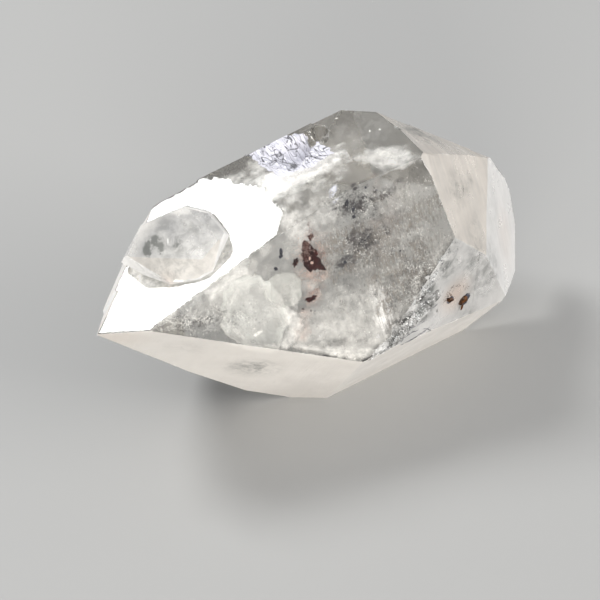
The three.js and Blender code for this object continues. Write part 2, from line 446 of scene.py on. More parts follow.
def faces_of(points, triangles):
    """The number of the crystal face that each triangle lies on, or BREAK, or SMALL."""
    normals = triangle_normals(points, triangles)
    middle = points[triangles].mean(axis=1)
    fits = (normals @ face_normals.T > ALIGNED_COSINE) & (np.abs(depths(middle)) < DEEPEST_STEP)
    face = np.where(fits.any(axis=1), fits.argmax(axis=1), BREAK)
    near_small = np.linalg.norm(middle - SMALL_CENTRE, axis=1) < SMALL_REACH
    return np.where((face < 0) & near_small, SMALL, face)


face = faces_of(cad_points, cad_triangles)[skin_parent]
print("triangles on faces:", (face >= 0).sum(), "small crystal:", (face == SMALL).sum(),
      "breaks:", (face == BREAK).sum())

# %% Give each triangle its finish
middles = skin_points[skin_triangles].mean(axis=1)
facing = triangle_normals(skin_points, skin_triangles)
finishes = np.array([FACES[name][FINISH:] for name in face_names] + [SMALL_FINISH, BREAK_FINISH])
finish, skin_rough, skin_wave, skin_warmth, skin_streaks = finishes[face].T

tip_step = (face == BREAK) & (middles[:, 0] < TIP_STEPS_END)
small_wall = (face == SMALL) & (facing @ unit(SMALL_AXIS) < SMALL_WALL_COSINE)
small_low = (face == SMALL) & (facing[:, 2] < SMALL_LOW_COSINE) & ~small_wall
finish = np.where(tip_step | small_wall, CHALKY, finish)
skin_rough = np.where(tip_step, FACES["sharp_back"][ROUGHNESS], skin_rough)
skin_rough = np.where(small_low, SMALL_LOW_ROUGHNESS, skin_rough)
skin_warmth = np.where(small_low, SMALL_LOW_WARMTH, skin_warmth)
print("chalky triangles:", (finish == CHALKY).sum())

# %% [markdown]
# ## Growth waves, nicked ridges and hackly breaks
# Low waves on the faces bend what is seen through them, as on any grown crystal. They could be bump alone,
# but then the outline would stay dead straight, so the points are really moved, by smooth noise. The ridges
# are drawn in a little, more in some places than in others. Where the crystal broke, the skin is hackly:
# noise is folded at zero, which leaves thin curving furrows between smooth swells. The zone of each break
# ends raggedly, and so does the seam between the clear front face and the milky broken corner.

# %% Smooth noise
LATTICE = 32


def soft_noise(points, size, seed):
    """Noise from -1 to 1: random values on a lattice this many millimetres wide, blended smoothly."""
    table = np.random.default_rng(seed).uniform(-1, 1, (LATTICE,) * 3)
    cell = np.floor(points / size)
    share = eased(points / size - cell)
    cell = cell.astype(int)
    total = np.zeros(len(points))
    for corner in np.ndindex(2, 2, 2):
        weight = np.where(corner, share, 1 - share).prod(axis=1)
        total += weight * table[tuple(((cell + corner) % LATTICE).T)]
    return total


def layered_noise(points, *layers):
    """Soft noises added up. Each layer is a share, a size in millimetres and a seed."""
    return sum(share * soft_noise(points, size, seed) for share, size, seed in layers)


sample = soft_noise(middles, 1.0, 0)
print("noise runs from", sample.min().round(2), "to", sample.max().round(2))

# %% Ragged zones of broken and mottled skin
BREAK_SHARE, BREAK_LEAST = 0.42, 0.02
BREAK_RAGGED, OUTLINE_RAGGED = 0.28, 0.6
RIPPLED_LOWEST = 17.7
BREAK_FINISHES = {RIPPLED: (BROKEN, 0.22), CRUMBLY: (CRUMBLED, 0.2)}
CORNER_SEAM = ((4.6, -7.8, 12.1), (3.0, -8.15, 10.8), 0.9)
SEAM_SHARE, SEAM_RAGGED = 0.85, 0.7

ragged = BREAK_RAGGED * layered_noise(middles, (1, 0.9, 12), (1, 0.35, 13))
for zone, (start, end, reach, *_) in HACKLES.items():
    if zone == RIPPLED:
        in_zone = inside_outline(middles, RIPPLED_OUTLINE) + OUTLINE_RAGGED * ragged > 0
        in_zone &= middles[:, 2] > RIPPLED_LOWEST
    else:
        near = nearness(middles, start, end, reach)
        in_zone = (near + ragged > BREAK_SHARE) & (near > BREAK_LEAST)
    finish = np.where(in_zone, BREAK_FINISHES[zone][0], finish)
    skin_rough = np.where(in_zone, BREAK_FINISHES[zone][1], skin_rough)
    print(zone, "triangles:", in_zone.sum())

mottled = layered_noise(middles, (1, 0.5, 14), (0.6, 0.22, 15))
strays = nearness(middles, *CORNER_SEAM) + SEAM_RAGGED * mottled > SEAM_SHARE
for here, there in ((UPPER, CORNER), (CORNER, UPPER)):
    strayed = strays & (face == face_names.index(here)) & (finish == FACES[here][FINISH])
    finish = np.where(strayed, FACES[there][FINISH], finish)
    skin_rough = np.where(strayed, FACES[there][ROUGHNESS], skin_rough)
    print("strays of", there, "on", here + ":", strayed.sum())

# %% Waves and furrows
FURROW_STRETCH = (0.7, 1.9, 1)
FURROW_WARP, FURROW_SHARPNESS = 0.6, 8.0
FURROW_SEEN = 0.05
FINE_SIZE, SWELL_SHARE = 0.4, 0.35
RIPPLED_FADE = 0.4


def point_normals(points, triangles):
    """The mean normal of the triangles round each point."""
    total = np.zeros_like(points)
    for corner in range(3):
        np.add.at(total, triangles[:, corner], triangle_normals(points, triangles))
    return unit(total)


def mean_round_points(triangles, values, count):
    """The mean, at each point, of a value that its triangles carry."""
    total, times = np.zeros(count), np.zeros(count)
    np.add.at(total, triangles.ravel(), np.repeat(values, 3))
    np.add.at(times, triangles.ravel(), 1)
    return total / np.maximum(times, 1)


def hackly(points):
    """How far the breaks draw points in, in millimetres, and how deep in a furrow each point lies.

    A furrow runs where warped noise crosses zero: one less its size, sharpened and held above zero.
    """
    inwards, furrows = np.zeros(len(points)), np.zeros(len(points))
    for zone, (start, end, reach, depth, spacing) in HACKLES.items():
        near = nearness(points, start, end, reach)
        if zone == RIPPLED:
            near *= np.clip(inside_outline(points, RIPPLED_OUTLINE) / RIPPLED_FADE, 0, 1)
        warp = np.stack([soft_noise(points, spacing, seed) for seed in (5, 6, 7)], axis=1)
        warped = points * FURROW_STRETCH + FURROW_WARP * spacing * warp
        furrow = np.clip(1 - np.abs(soft_noise(warped, spacing, 8)) * FURROW_SHARPNESS, 0, 1)
        fine = soft_noise(warped, spacing * FINE_SIZE, 9)
        inwards += near * depth * (furrow + SWELL_SHARE * fine + SWELL_SHARE)
        furrows = np.maximum(furrows, furrow * (near > FURROW_SEEN))
    return inwards, furrows


break_depths, skin_furrows = hackly(skin_points)
print("deepest furrow, mm:", break_depths.max().round(3))

# %% Move the skin
RIDGE_WEAR = 0.01
RIDGE_NICKS = 0.014
FOOT_KEPT, FOOT_FADE = 0.02, 0.1

wave = mean_round_points(skin_triangles, skin_wave, len(skin_points))
wave *= 1 + soft_noise(skin_points, 2.6, 1) + 0.5 * soft_noise(skin_points, 1.1, 2)
nick = np.clip(layered_noise(skin_points, (1, 0.7, 3), (0.5, 0.25, 4)), 0, 1)
inwards = wave + skin_ridge * (RIDGE_WEAR + RIDGE_NICKS * nick**2) + break_depths
inwards *= np.clip((skin_points[:, 2] - FOOT_KEPT) / FOOT_FADE, 0, 1)
skin_points = skin_points - point_normals(skin_points, skin_triangles) * inwards[:, None]
print("skin drawn in, mm: by", inwards.mean().round(3), "on average and", inwards.max().round(3), "at most")

# %% [markdown]
# ## Smudges, painted shade and blushes
# Some faces have dull grey patches, where they were etched or hold dust, and some are stained rosy by iron.
# On the small crystal the grey is painted shade: a dark window where its clear quartz would look dark, and a
# greyer tone over all of it. They could be drawn on an image, but soft round spots, each with a place, a
# reach and a strength, are easier to move. Their strengths are stored on the points of the skin, and the
# finishes break them up with noise.

# %% Spots on the skin
SPOT_LENGTH = 0.001
# The small_window spots and small_all are painted shade on the small crystal.
SMUDGES_AND_SHADE = {
    # name: (place, reach in mm, strength)
    "low_face": ((-7.6, -3.9, 6.4), 2.9, 0.95),
    "low_face_edge": ((-12.0, -2.4, 10.6), 2.4, 0.25),
    "front_end_high": ((9.0, -4.4, 15.9), 2.2, 0.7),
    "front_end_line": ((10.4, -4.2, 15.2), 1.6, 0.8),
    "front_end_low": ((9.8, -6.0, 12.6), 1.9, 0.6),
    "front_end_spot": ((11.3, -3.2, 15.0), 0.7, 1.0),
    "top_end": ((8.2, -0.4, 18.7), 2.2, 1.3),
    "top_end_edge": ((9.0, 0.4, 18.2), 3.4, 1.0),
    "worn_end": ((13.6, -4.0, 11.0), 3.4, 0.25),
    "corner_swirl": ((10.8, -6.8, 8.8), 3.6, 0.8),
    "corner_high": ((9.0, -7.2, 11.2), 2.6, 0.8),
    "corner_inner": ((6.4, -7.65, 12.2), 2.0, 1.1),
    "corner_seam": ((4.6, -8.05, 11.2), 1.7, 1.2),
    "corner_seam_high": ((6.9, -7.45, 13.6), 1.5, 1.1),
    "corner_edge": ((8.6, -7.4, 6.4), 2.6, 0.4),
    "small_window_low": ((-12.75, 0.95, 17.0), 0.75, 3.2),
    "small_window_left": ((-12.5, 1.4, 17.3), 0.6, 2.2),
    "small_window_foot": ((-12.3, 0.6, 17.03), 0.65, 2.0),
    "small_all": ((-10.8, 0.2, 17.2), 5.5, 0.58),
    "small_window": ((-12.3, 1.05, 17.22), 0.9, 3.4),
    "small_window_high": ((-11.95, 1.25, 17.45), 0.7, 1.8),
    "small_window_right": ((-11.04, 0.06, 17.29), 0.8, 1.5),
    "small_right": ((-9.2, -1.0, 17.5), 1.8, 0.3),
    "corner_crumble": ((4.3, -8.15, 9.6), 1.5, 3.0),
    "corner_crumble_low": ((2.8, -8.5, 8.9), 0.9, 0.8),
    "small_window_far": ((-10.3, -0.4, 17.4), 0.7, 0.8),
    "small_foot": ((-12.0, -0.5, 15.9), 3.4, 0.62),
}
BLUSHES = {
    # name: (place, reach in mm, strength)
    "round_drops": ((7.4, -7.6, 8.9), 2.3, 0.95),
    "small_foot": ((-12.4, -0.8, 15.3), 1.0, 0.5),
    "tip": ((-16.6, -0.6, 12.4), 3.0, 0.3),
    "worn_end": ((15.4, -3.6, 7.5), 3.6, 0.3),
}


def spots_on(points, spots):
    """The strongest of these soft round spots at each point. A spot is a very short line."""
    strengths = [strength * nearness(points, place, np.add(place, SPOT_LENGTH), reach)
                 for place, reach, strength in spots.values()]
    return np.max(strengths, axis=0)


skin_smudge_and_shade = spots_on(skin_points, SMUDGES_AND_SHADE)
skin_blush = spots_on(skin_points, BLUSHES)
print("smudges:", len(SMUDGES_AND_SHADE), "blushes:", len(BLUSHES))

# %% [markdown]
# ## The finishes of the quartz
# Clear quartz is glass in Blender's terms: full transmission, an index of refraction of 1.544 and a little
# grey absorption. Etched and broken faces scatter light too. That could be one material with a mask, but
# the share of light that passes belongs on the shader's own socket. So there are seven materials on one
# skin, from clear to chalky, which pass less and less light straight on. One node group gives them all
# their fine patchy roughness and relief. Lamps shine through the skin as they do in life, so what is
# trapped inside is lit.

# %% Nodes in few words


def add_node(tree, kind, values=(), **settings):
    """Adds a node, sets its own settings, and fills its inputs with plain values or links."""
    made = tree.nodes.new(kind)
    for name, value in settings.items():
        setattr(made, name, value)
    for key, value in dict(values).items():
        if isinstance(value, bpy.types.NodeSocket):
            tree.links.new(value, made.inputs[key])
        else:
            made.inputs[key].default_value = value
    return made


def reckon(tree, operation, *values, clamp=False):
    """A Math node's result."""
    node = add_node(tree, "ShaderNodeMath", dict(enumerate(values)), operation=operation, use_clamp=clamp)
    return node.outputs[0]


def spread(tree, value, low, high, new_low=0.0, new_high=1.0):
    """Stretches a value from one range to another and holds it there."""
    inputs = {"Value": value, "From Min": low, "From Max": high, "To Min": new_low, "To Max": new_high}
    return add_node(tree, "ShaderNodeMapRange", inputs).outputs[0]


def blend(tree, factor, first, second):
    """Mixes two colours, each plain or linked: the second's share is the factor."""
    mix = add_node(tree, "ShaderNodeMix", {"Factor": factor}, data_type="RGBA")
    for socket, colour in zip((mix.inputs[6], mix.inputs[7]), (first, second)):
        if isinstance(colour, bpy.types.NodeSocket):
            tree.links.new(colour, socket)
        else:
            socket.default_value = colour
    return mix.outputs[2]


def attribute(tree, name):
    """A number stored on the mesh."""
    return add_node(tree, "ShaderNodeAttribute", attribute_name=name).outputs["Fac"]


print("helpers:", [helper.__name__ for helper in (add_node, reckon, spread, blend, attribute)])

# %% Noise, relief and node groups


def object_place(tree):
    """Object coordinates, in metres, since every piece is at the origin."""
    return add_node(tree, "ShaderNodeTexCoord").outputs["Object"]


def noise_of(tree, place, per_metre, detail=3.0, rough=0.55, stretch=None, curl=0.0):
    """Noise at this many features to a metre, stretched along an axis if asked."""
    if stretch is not None:
        place = add_node(tree, "ShaderNodeMapping", {"Vector": place, "Scale": stretch}).outputs[0]
    inputs = {"Vector": place, "Scale": per_metre, "Detail": detail, "Roughness": rough,
              "Distortion": curl}
    return add_node(tree, "ShaderNodeTexNoise", inputs).outputs[0]


def add_relief(tree, height, depth_mm):
    """Bends the shader's normal by a height, whose full range stands for this depth."""
    inputs = {"Height": height, "Strength": 1.0, "Distance": depth_mm * MM}
    bump = add_node(tree, "ShaderNodeBump", inputs)
    tree.links.new(bump.outputs[0], tree.nodes["Principled BSDF"].inputs["Normal"])


def new_group(name, sockets_in, sockets_out):
    """A shader node group with these number inputs and outputs: its tree and its inner input node."""
    tree = bpy.data.node_groups.new(name, "ShaderNodeTree")
    for title, start in sockets_in.items():
        socket = tree.interface.new_socket(title, in_out="INPUT", socket_type="NodeSocketFloat")
        socket.default_value = start
    for title in sockets_out:
        tree.interface.new_socket(title, in_out="OUTPUT", socket_type="NodeSocketFloat")
    return tree, tree.nodes.new("NodeGroupInput")


def put_out(tree, values):
    """Links these values to the outputs of a group."""
    result = tree.nodes.new("NodeGroupOutput")
    for title, value in values.items():
        tree.links.new(value, result.inputs[title])


print("helpers:", [helper.__name__ for helper in (object_place, noise_of, add_relief, new_group, put_out)])

# %% The group for etched skin
PATCHES, SPECKLES, LINES, STREAKS, BLOTCHES = 420.0, 5200.0, 300.0, 260.0, 1300.0
LINE_STRETCH, STREAK_STRETCH = (11.0, 1.0, 1.0), (9.0, 1.0, 1.0)


def etched_skin_group():
    """Roughness and relief of an etched face: broad patches, fine speckle and lines across the long axis."""
    tree, given = new_group("etched_skin", {"Frost": 0.1, "Speckle": 0.1, "Ridge": 0.0},
                            ("Roughness", "Relief", "Patch", "Streak", "Blotch"))
    place = object_place(tree)
    patch = spread(tree, noise_of(tree, place, PATCHES), 0.36, 0.66)
    speckle = spread(tree, noise_of(tree, place, SPECKLES, 2.0), 0.56, 0.72)
    lines = noise_of(tree, place, LINES, 4.0, 0.6, LINE_STRETCH)
    streak = noise_of(tree, place, STREAKS, 5.0, 0.6, STREAK_STRETCH)
    frost = reckon(tree, "MULTIPLY", given.outputs["Frost"], spread(tree, patch, 0, 1, 0.75, 1.35))
    frost = reckon(tree, "ADD", frost, reckon(tree, "MULTIPLY", speckle, given.outputs["Speckle"]))
    worn = reckon(tree, "MULTIPLY", spread(tree, given.outputs["Ridge"], 0.45, 0.95), 0.35)
    put_out(tree, {
        "Roughness": reckon(tree, "ADD", frost, worn, clamp=True),
        "Relief": reckon(tree, "ADD", lines, reckon(tree, "MULTIPLY", speckle, 0.12)),
        "Patch": patch,
        "Streak": spread(tree, streak, 0.38, 0.64),
        "Blotch": spread(tree, noise_of(tree, place, BLOTCHES, 8.0, 0.74, curl=0.5), 0.42, 0.6),
    })
    return tree


etched_skin = etched_skin_group()
print("etched skin:", len(etched_skin.nodes), "nodes")

# %% The colour of the quartz
COOL = (0.98, 0.975, 0.96, 1)
WARM = (0.99, 0.91, 0.81, 1)
ROSE = (0.88, 0.73, 0.63, 1)
LILAC = (0.93, 0.92, 1.0, 1)
STREAK_GREY = (0.35, 0.36, 0.36, 1)
SMUDGE_AND_SHADE_GREY = (0.14, 0.15, 0.14, 1)
FURROW_SHADE_GREY = (0.1, 0.1, 0.11, 1)
BLACK = (0, 0, 0, 1)
STREAKS_SHOW, SMUDGES_AND_SHADE_SHOW, FURROW_SHADE_SHOW = 0.4, 0.85, 0.85


def quartz_colour(tree, etched, cool, dim):
    """A cool tone, warmed and blushed, dimmed in patches and greyed by streaks.

    It is greyed too by smudges and painted shade, and by painted shade along the furrows.
    """
    colour = blend(tree, attribute(tree, "warmth"), cool, WARM)
    colour = blend(tree, attribute(tree, "blush"), colour, ROSE)
    colour = blend(tree, spread(tree, etched.outputs["Patch"], 0, 1, 0, 1 - dim), colour, BLACK)
    streaked = reckon(tree, "MULTIPLY", etched.outputs["Streak"], attribute(tree, "streaks"))
    colour = blend(tree, reckon(tree, "MULTIPLY", streaked, STREAKS_SHOW), colour, STREAK_GREY)
    spotted = spread(tree, etched.outputs["Blotch"], 0, 1, 0.12, 1.0)
    # Smudges and painted shade: these spots darken the skin towards grey.
    smudge_and_shade = reckon(tree, "MULTIPLY", attribute(tree, "smudge_and_shade"), spotted, clamp=True)
    colour = blend(tree, reckon(tree, "MULTIPLY", smudge_and_shade, SMUDGES_AND_SHADE_SHOW), colour, SMUDGE_AND_SHADE_GREY)
    # Painted shade: the skin is darkened along the furrows of the breaks.
    furrow_shade = spread(tree, attribute(tree, "furrow"), 0.35, 0.8, 0, FURROW_SHADE_SHOW)
    return blend(tree, furrow_shade, colour, FURROW_SHADE_GREY)


print("tones:", {"cool": COOL[:3], "warm": WARM[:3], "rose": ROSE[:3], "lilac": LILAC[:3]})

# %% The quartz material
QUARTZ_IOR = 1.544
BODY_TINT, BODY_DENSITY = (0.72, 0.7, 0.65, 1), 40.0
LAMPS_PASS = (0.85, 0.85, 0.85, 1)


def clear_body(tree, shader):
    """Lets lamps shine through the skin, and gives the body inside it plain absorption."""
    for_lamps = add_node(tree, "ShaderNodeLightPath").outputs["Is Shadow Ray"]
    lamp_through = add_node(tree, "ShaderNodeBsdfTransparent", {"Color": LAMPS_PASS})
    mixed = add_node(tree, "ShaderNodeMixShader",
                     {0: for_lamps, 1: shader.outputs[0], 2: lamp_through.outputs[0]})
    body = add_node(tree, "ShaderNodeVolumeAbsorption", {"Color": BODY_TINT, "Density": BODY_DENSITY})
    tree.links.new(mixed.outputs[0], tree.nodes["Material Output"].inputs["Surface"])
    tree.links.new(body.outputs[0], tree.nodes["Material Output"].inputs["Volume"])


def quartz_material(name, passes, speckle, relief_mm, cool, dim):
    """Quartz that passes this share of the light straight on, over an etched roughness and relief."""
    material, shader = plain_material(name, cool, 0.1)
    tree = material.node_tree
    set_inputs(shader, {"Transmission Weight": passes, "IOR": QUARTZ_IOR})
    etched = add_node(tree, "ShaderNodeGroup", node_tree=etched_skin)
    set_inputs(etched, {"Speckle": speckle})
    tree.links.new(attribute(tree, "frost"), etched.inputs["Frost"])
    tree.links.new(attribute(tree, "ridge"), etched.inputs["Ridge"])
    tree.links.new(etched.outputs["Roughness"], shader.inputs["Roughness"])
    tree.links.new(quartz_colour(tree, etched, cool, dim), shader.inputs["Base Color"])
    add_relief(tree, etched.outputs["Relief"], relief_mm)
    clear_body(tree, shader)
    return material


print("index of refraction:", QUARTZ_IOR)

# %% The group for hackly breaks
BROAD_STRETCH, FINE_STRETCH = (2.4, 0.6, 1.0), (2.0, 0.5, 1.0)
FINER = 2.6
LINE_WIDTHS = (0.016, 0.028)
NOISE_MIDDLE = 0.5
GATES = 500.0


def hackled_group():
    """A break: thin curving lines where stretched noise crosses its middle, and the swells between them."""
    tree, given = new_group("hackled_break", {"Per metre": 900.0}, ("Line", "Swell"))
    place, per_metre = object_place(tree), given.outputs["Per metre"]
    broad = noise_of(tree, place, per_metre, 1.0, 0.4, BROAD_STRETCH, 0.7)
    finer = reckon(tree, "MULTIPLY", per_metre, FINER)
    fine = noise_of(tree, place, finer, 1.5, 0.5, FINE_STRETCH, 0.9)
    lines = []
    for noise, width in zip((broad, fine), LINE_WIDTHS):
        off_middle = reckon(tree, "ABSOLUTE", reckon(tree, "SUBTRACT", noise, NOISE_MIDDLE))
        lines.append(spread(tree, off_middle, 0.2 * width, width, 1, 0))
    gate = spread(tree, noise_of(tree, place, GATES), 0.42, 0.6)
    put_out(tree, {
        "Line": reckon(tree, "MAXIMUM", lines[0], reckon(tree, "MULTIPLY", lines[1], gate)),
        "Swell": reckon(tree, "ADD", reckon(tree, "MULTIPLY", broad, 0.7),
                        reckon(tree, "MULTIPLY", fine, 0.3)),
    })
    return tree


def hackled(material, per_metre, depth_mm, line_colour, swell_colour, swell_range):
    """Draws a break's lines and swells over a finish, in colour and in relief."""
    tree = material.node_tree
    base = tree.nodes["Principled BSDF"].inputs["Base Color"]
    broken = add_node(tree, "ShaderNodeGroup", node_tree=hackled_break)
    set_inputs(broken, {"Per metre": per_metre})
    swell = spread(tree, broken.outputs["Swell"], *swell_range)
    colour = blend(tree, swell, base.links[0].from_socket, swell_colour)
    tree.links.new(blend(tree, broken.outputs["Line"], colour, line_colour), base)
    add_relief(tree, broken.outputs["Swell"], depth_mm)


hackled_break = hackled_group()
print("hackled break:", len(hackled_break.nodes), "nodes")

# %% The seven finishes
QUARTZ = {
    # name: (share that passes, speckle, relief in mm, colour, brightness of the dim patches)
    "clear_quartz": (1.0, 0.05, 0.005, COOL, 0.9),
    "satin_quartz": (0.45, 0.03, 0.02, COOL, 0.82),
    "frosted_quartz": (0.42, 0.05, 0.02, COOL, 0.95),
    "broken_quartz": (0.1, 0.05, 0.012, LILAC, 1.0),
    "milky_quartz": (0.55, 0.03, 0.03, COOL, 0.82),
    "crumbled_quartz": (0.6, 0.1, 0.02, COOL, 0.9),
    "chalky_quartz": (0.1, 0.05, 0.02, COOL, 0.97),
}
BREAK_LOOKS = {
    # finish: (lines to a metre, depth in mm, colour of the lines, of the swells, range of the swells)
    BROKEN: (700.0, 0.3, (0.05, 0.05, 0.06, 1), (0.7, 0.7, 0.78, 1), (0.54, 0.68)),
    CRUMBLED: (1300.0, 0.3, (0.03, 0.03, 0.03, 1), (0.3, 0.3, 0.28, 1), (0.45, 0.62)),
}
DULL = 0.12

quartz_finishes = [quartz_material(name, *values) for name, values in QUARTZ.items()]
for number, values in BREAK_LOOKS.items():
    hackled(quartz_finishes[number], *values)
set_inputs(quartz_finishes[CHALKY].node_tree.nodes["Principled BSDF"], {"Specular IOR Level": DULL})
print("finishes:", [material.name for material in quartz_finishes])

# %% [markdown]
# ## The crystal itself
# The moved points and triangles become one closed mesh. Each triangle takes the material of its finish, and
# what varies over the skin, such as its roughness, is stored on the mesh as numbers. They could be painted
# on an image, but a number on each point needs no unwrapping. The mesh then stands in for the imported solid.

# %% Crystal skin


def surface_object(name, points, faces_of_points, material, smooth=True):
    """A mesh object at the origin from points in millimetres, riding on the one body."""
    mesh = bpy.data.meshes.new(name)
    corners = faces_of_points.shape[1]
    mesh.vertices.add(len(points))
    mesh.vertices.foreach_set("co", (points * MM).ravel())
    mesh.loops.add(faces_of_points.size)
    mesh.loops.foreach_set("vertex_index", faces_of_points.ravel().astype(np.int32))
    mesh.polygons.add(len(faces_of_points))
    mesh.polygons.foreach_set("loop_start", np.arange(0, faces_of_points.size, corners, dtype=np.int32))
    mesh.polygons.foreach_set("use_smooth", np.full(len(faces_of_points), smooth))
    mesh.update(calc_edges=True)
    mesh.materials.append(material)
    made = bpy.data.objects.new(name, mesh)
    bpy.context.scene.collection.objects.link(made)
    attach(made, "root")
    print(name, len(points), "points,", len(faces_of_points), "faces")
    return made


def give_attribute(mesh, name, domain, values):
    """Stores one number for each point or face, for a material to read."""
    numbers = np.asarray(values, dtype=np.float32)
    mesh.attributes.new(name, "FLOAT", domain).data.foreach_set("value", numbers)


crystal = surface_object("crystal_skin", skin_points, skin_triangles, quartz_finishes[CLEAR])
for other in quartz_finishes[SATIN:]:
    crystal.data.materials.append(other)
crystal.data.polygons.foreach_set("material_index", finish.astype(np.int32))
for name, values in {"frost": skin_rough, "warmth": skin_warmth, "streaks": skin_streaks}.items():
    give_attribute(crystal.data, name, "FACE", values)
for name, values in {"ridge": skin_ridge, "furrow": skin_furrows, "smudge_and_shade": skin_smudge_and_shade,
                     "blush": skin_blush}.items():
    give_attribute(crystal.data, name, "POINT", values)
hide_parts(NODE)

# %% [markdown]
# ## Veils
# The white clouds and the rusty blushes inside quartz are mostly healed cracks: curved sheets of tiny
# droplets or of fine dust, frozen in as the crystal grew. They could be a fog volume, but fog is slow.
# Grains alone look like sand. So each cloud is what it is in the stone, a thin wavy sheet just below a face.
# Its alpha is the thickness of its droplets, which is stored on its points and broken up by fine noise.
# Some veils are painted shade and painted light instead: grey sheets darken the clear body where it would
# look dark, and two white sheets below the bright face paint light over the dark under the small crystal.

# %% Directions that the inclusions are drawn in
SKIN_MARGIN = 0.12
ACROSS = np.array([0.8386, -0.5447, 0.004])
UPWARD = np.array([0.3766, 0.5851, 0.7182])
TOWARDS = np.array([-0.3936, -0.6008, 0.6958])


def face_frame(face_name):
    """Directions across and up the plane of a face, as the viewer sees them, and its normal."""
    normal = face_direction(*FACES[face_name][:DISTANCE])
    across = unit(ACROSS - (ACROSS @ normal) * normal)
    return across, np.cross(normal, across), normal


print("across the upper front face:", face_frame(UPPER)[0].round(2).tolist())

# %% Two tones and a glow
MILK_GLOW, MILK_GLOW_STRENGTH = (1, 0.98, 0.95, 1), 0.2
TONE_RANGE = (0.35, 0.65)


def two_tones(tree, place, pale, deep, per_metre):
    """Colours the shader between two tones by noise, and gives back the noise."""
    tone = spread(tree, noise_of(tree, place, per_metre), *TONE_RANGE)
    tree.links.new(blend(tree, tone, pale, deep), tree.nodes["Principled BSDF"].inputs["Base Color"])
    return tone


def add_glow(shader, colour, strength):
    """A faint painted glow, for light that droplets pass on to each other."""
    set_inputs(shader, {"Emission Color": colour, "Emission Strength": strength})


def pale_material(name, pale, deep, per_metre, roughness=0.6):
    """An opaque material between two tones, mixed by noise on object coordinates."""
    material, shader = plain_material(name, pale, roughness)
    tree = material.node_tree
    tone = two_tones(tree, object_place(tree), pale, deep, per_metre)
    tree.links.new(spread(tree, tone, 0, 1, roughness * 0.7, roughness), shader.inputs["Roughness"])
    return material


milk = pale_material("milky_droplets", (0.98, 0.97, 0.94, 1), (0.92, 0.93, 0.92, 1), 700.0)
add_glow(milk.node_tree.nodes["Principled BSDF"], MILK_GLOW, MILK_GLOW_STRENGTH)
print("material:", milk.name)

# %% Kinds of veil


def veil_material(name, pale, deep, per_metre, glow, fine_range, stretch=None):
    """Droplets on a sheet: alpha is the sheet's own haze times fine noise."""
    material, shader = plain_material(name, pale, 0.6)
    tree = material.node_tree
    place = object_place(tree)
    fine = spread(tree, noise_of(tree, place, per_metre, 6.0, 0.62, stretch), 0.32, 0.68, *fine_range)
    alpha = reckon(tree, "MULTIPLY", attribute(tree, "haze"), fine, clamp=True)
    tree.links.new(alpha, shader.inputs["Alpha"])
    two_tones(tree, place, pale, deep, per_metre * 0.4)
    add_glow(shader, pale, glow)
    return material


VEIL_KINDS = {
    # kind: (material, its two tones, features to a metre, glow, range of the fine noise, stretch)
    "milk": ("milky_veil", (0.97, 0.96, 0.93, 1), (0.9, 0.895, 0.87, 1), 2200.0, 0.25, (0.55, 1.35)),
    "wisp": ("wispy_veil", (0.98, 0.975, 0.95, 1), (0.94, 0.94, 0.93, 1), 1600.0, 0.42, (0.3, 1.7)),
    "pearl": ("pearl_veil", (0.88, 0.9, 1.0, 1), (0.78, 0.82, 1.0, 1), 2500.0, 0.3, (0.5, 1.4)),
    "dust": ("dust_veil", (0.04, 0.04, 0.045, 1), (0.1, 0.09, 0.09, 1), 2300.0, 0.0, (-0.6, 2.0)),
    "blush": ("blush_veil", (0.72, 0.5, 0.43, 1), (0.84, 0.7, 0.62, 1), 2400.0, 0.05, (0.2, 1.5)),
    # Painted shade: grey sheets that darken the clear body where it would look dark.
    "smoke": ("painted_shade_veil", (0.24, 0.22, 0.2, 1), (0.36, 0.34, 0.31, 1), 2600.0, 0.0, (-0.5, 1.7),
              (2.2, 0.8, 0.8)),
    "mist": ("misty_veil", (0.6, 0.59, 0.57, 1), (0.8, 0.79, 0.76, 1), 3600.0, 0.08, (-0.3, 1.6)),
    "rust": ("rusty_veil", (0.06, 0.012, 0.008, 1), (0.2, 0.08, 0.05, 1), 3200.0, 0.0, (-0.5, 1.7)),
    "brush": ("brushed_veil", (0.97, 0.965, 0.95, 1), (0.93, 0.93, 0.92, 1), 620.0, 0.34, (-0.5, 1.7),
              (8.0, 0.8, 0.8)),
    "striae": ("striae_veil", (0.95, 0.94, 0.92, 1), (0.9, 0.9, 0.88, 1), 1100.0, 0.15, (-0.6, 1.3),
               (5.0, 0.7, 0.7)),
}
veil_materials = {kind: veil_material(*values) for kind, values in VEIL_KINDS.items()}
print("kinds of veil:", list(VEIL_KINDS))

# %% Bend a sheet below a face
VEIL_STEPS = (84, 64)
SHEET_EDGE = 1.4
SHEET_DEPTH = 0.26
SHEET_GIVE = 0.35


def sheet_grid():
    """The two parameters of a sheet on a grid, as lists, and the quads between them."""
    u, v = np.meshgrid(*(np.linspace(-SHEET_EDGE, SHEET_EDGE, steps) for steps in VEIL_STEPS))
    wide, high = VEIL_STEPS
    corner = np.arange(high - 1)[:, None] * wide + np.arange(wide - 1)
    quads = np.stack([corner, corner + 1, corner + wide + 1, corner + wide], axis=-1)
    return u.ravel(), v.ravel(), quads.reshape(-1, 4)


def bent_sheet(centre, reach, face_name, heading, seed):
    """A flat sheet below a face, turned by its heading, waved by noise and pushed in below the skin."""
    across, upward, normal = face_frame(face_name)
    heading = np.radians(heading)
    along = np.cos(heading) * across + np.sin(heading) * upward
    beside = np.cross(normal, along)
    points = np.array(centre) + np.outer(SHEET_U * reach[0], along) + np.outer(SHEET_V * reach[1], beside)
    bend = layered_noise(points, (0.25, 1.9, seed), (0.08, 0.7, seed + 1))
    points = points + np.outer(bend, normal)
    return points - np.outer(np.clip(SHEET_DEPTH - depth_inside(points), 0, SHEET_GIVE), normal)


SHEET_U, SHEET_V, SHEET_QUADS = sheet_grid()
print("a sheet:", len(SHEET_U), "points before it is cut to its haze")

# %% Spread haze over the sheet


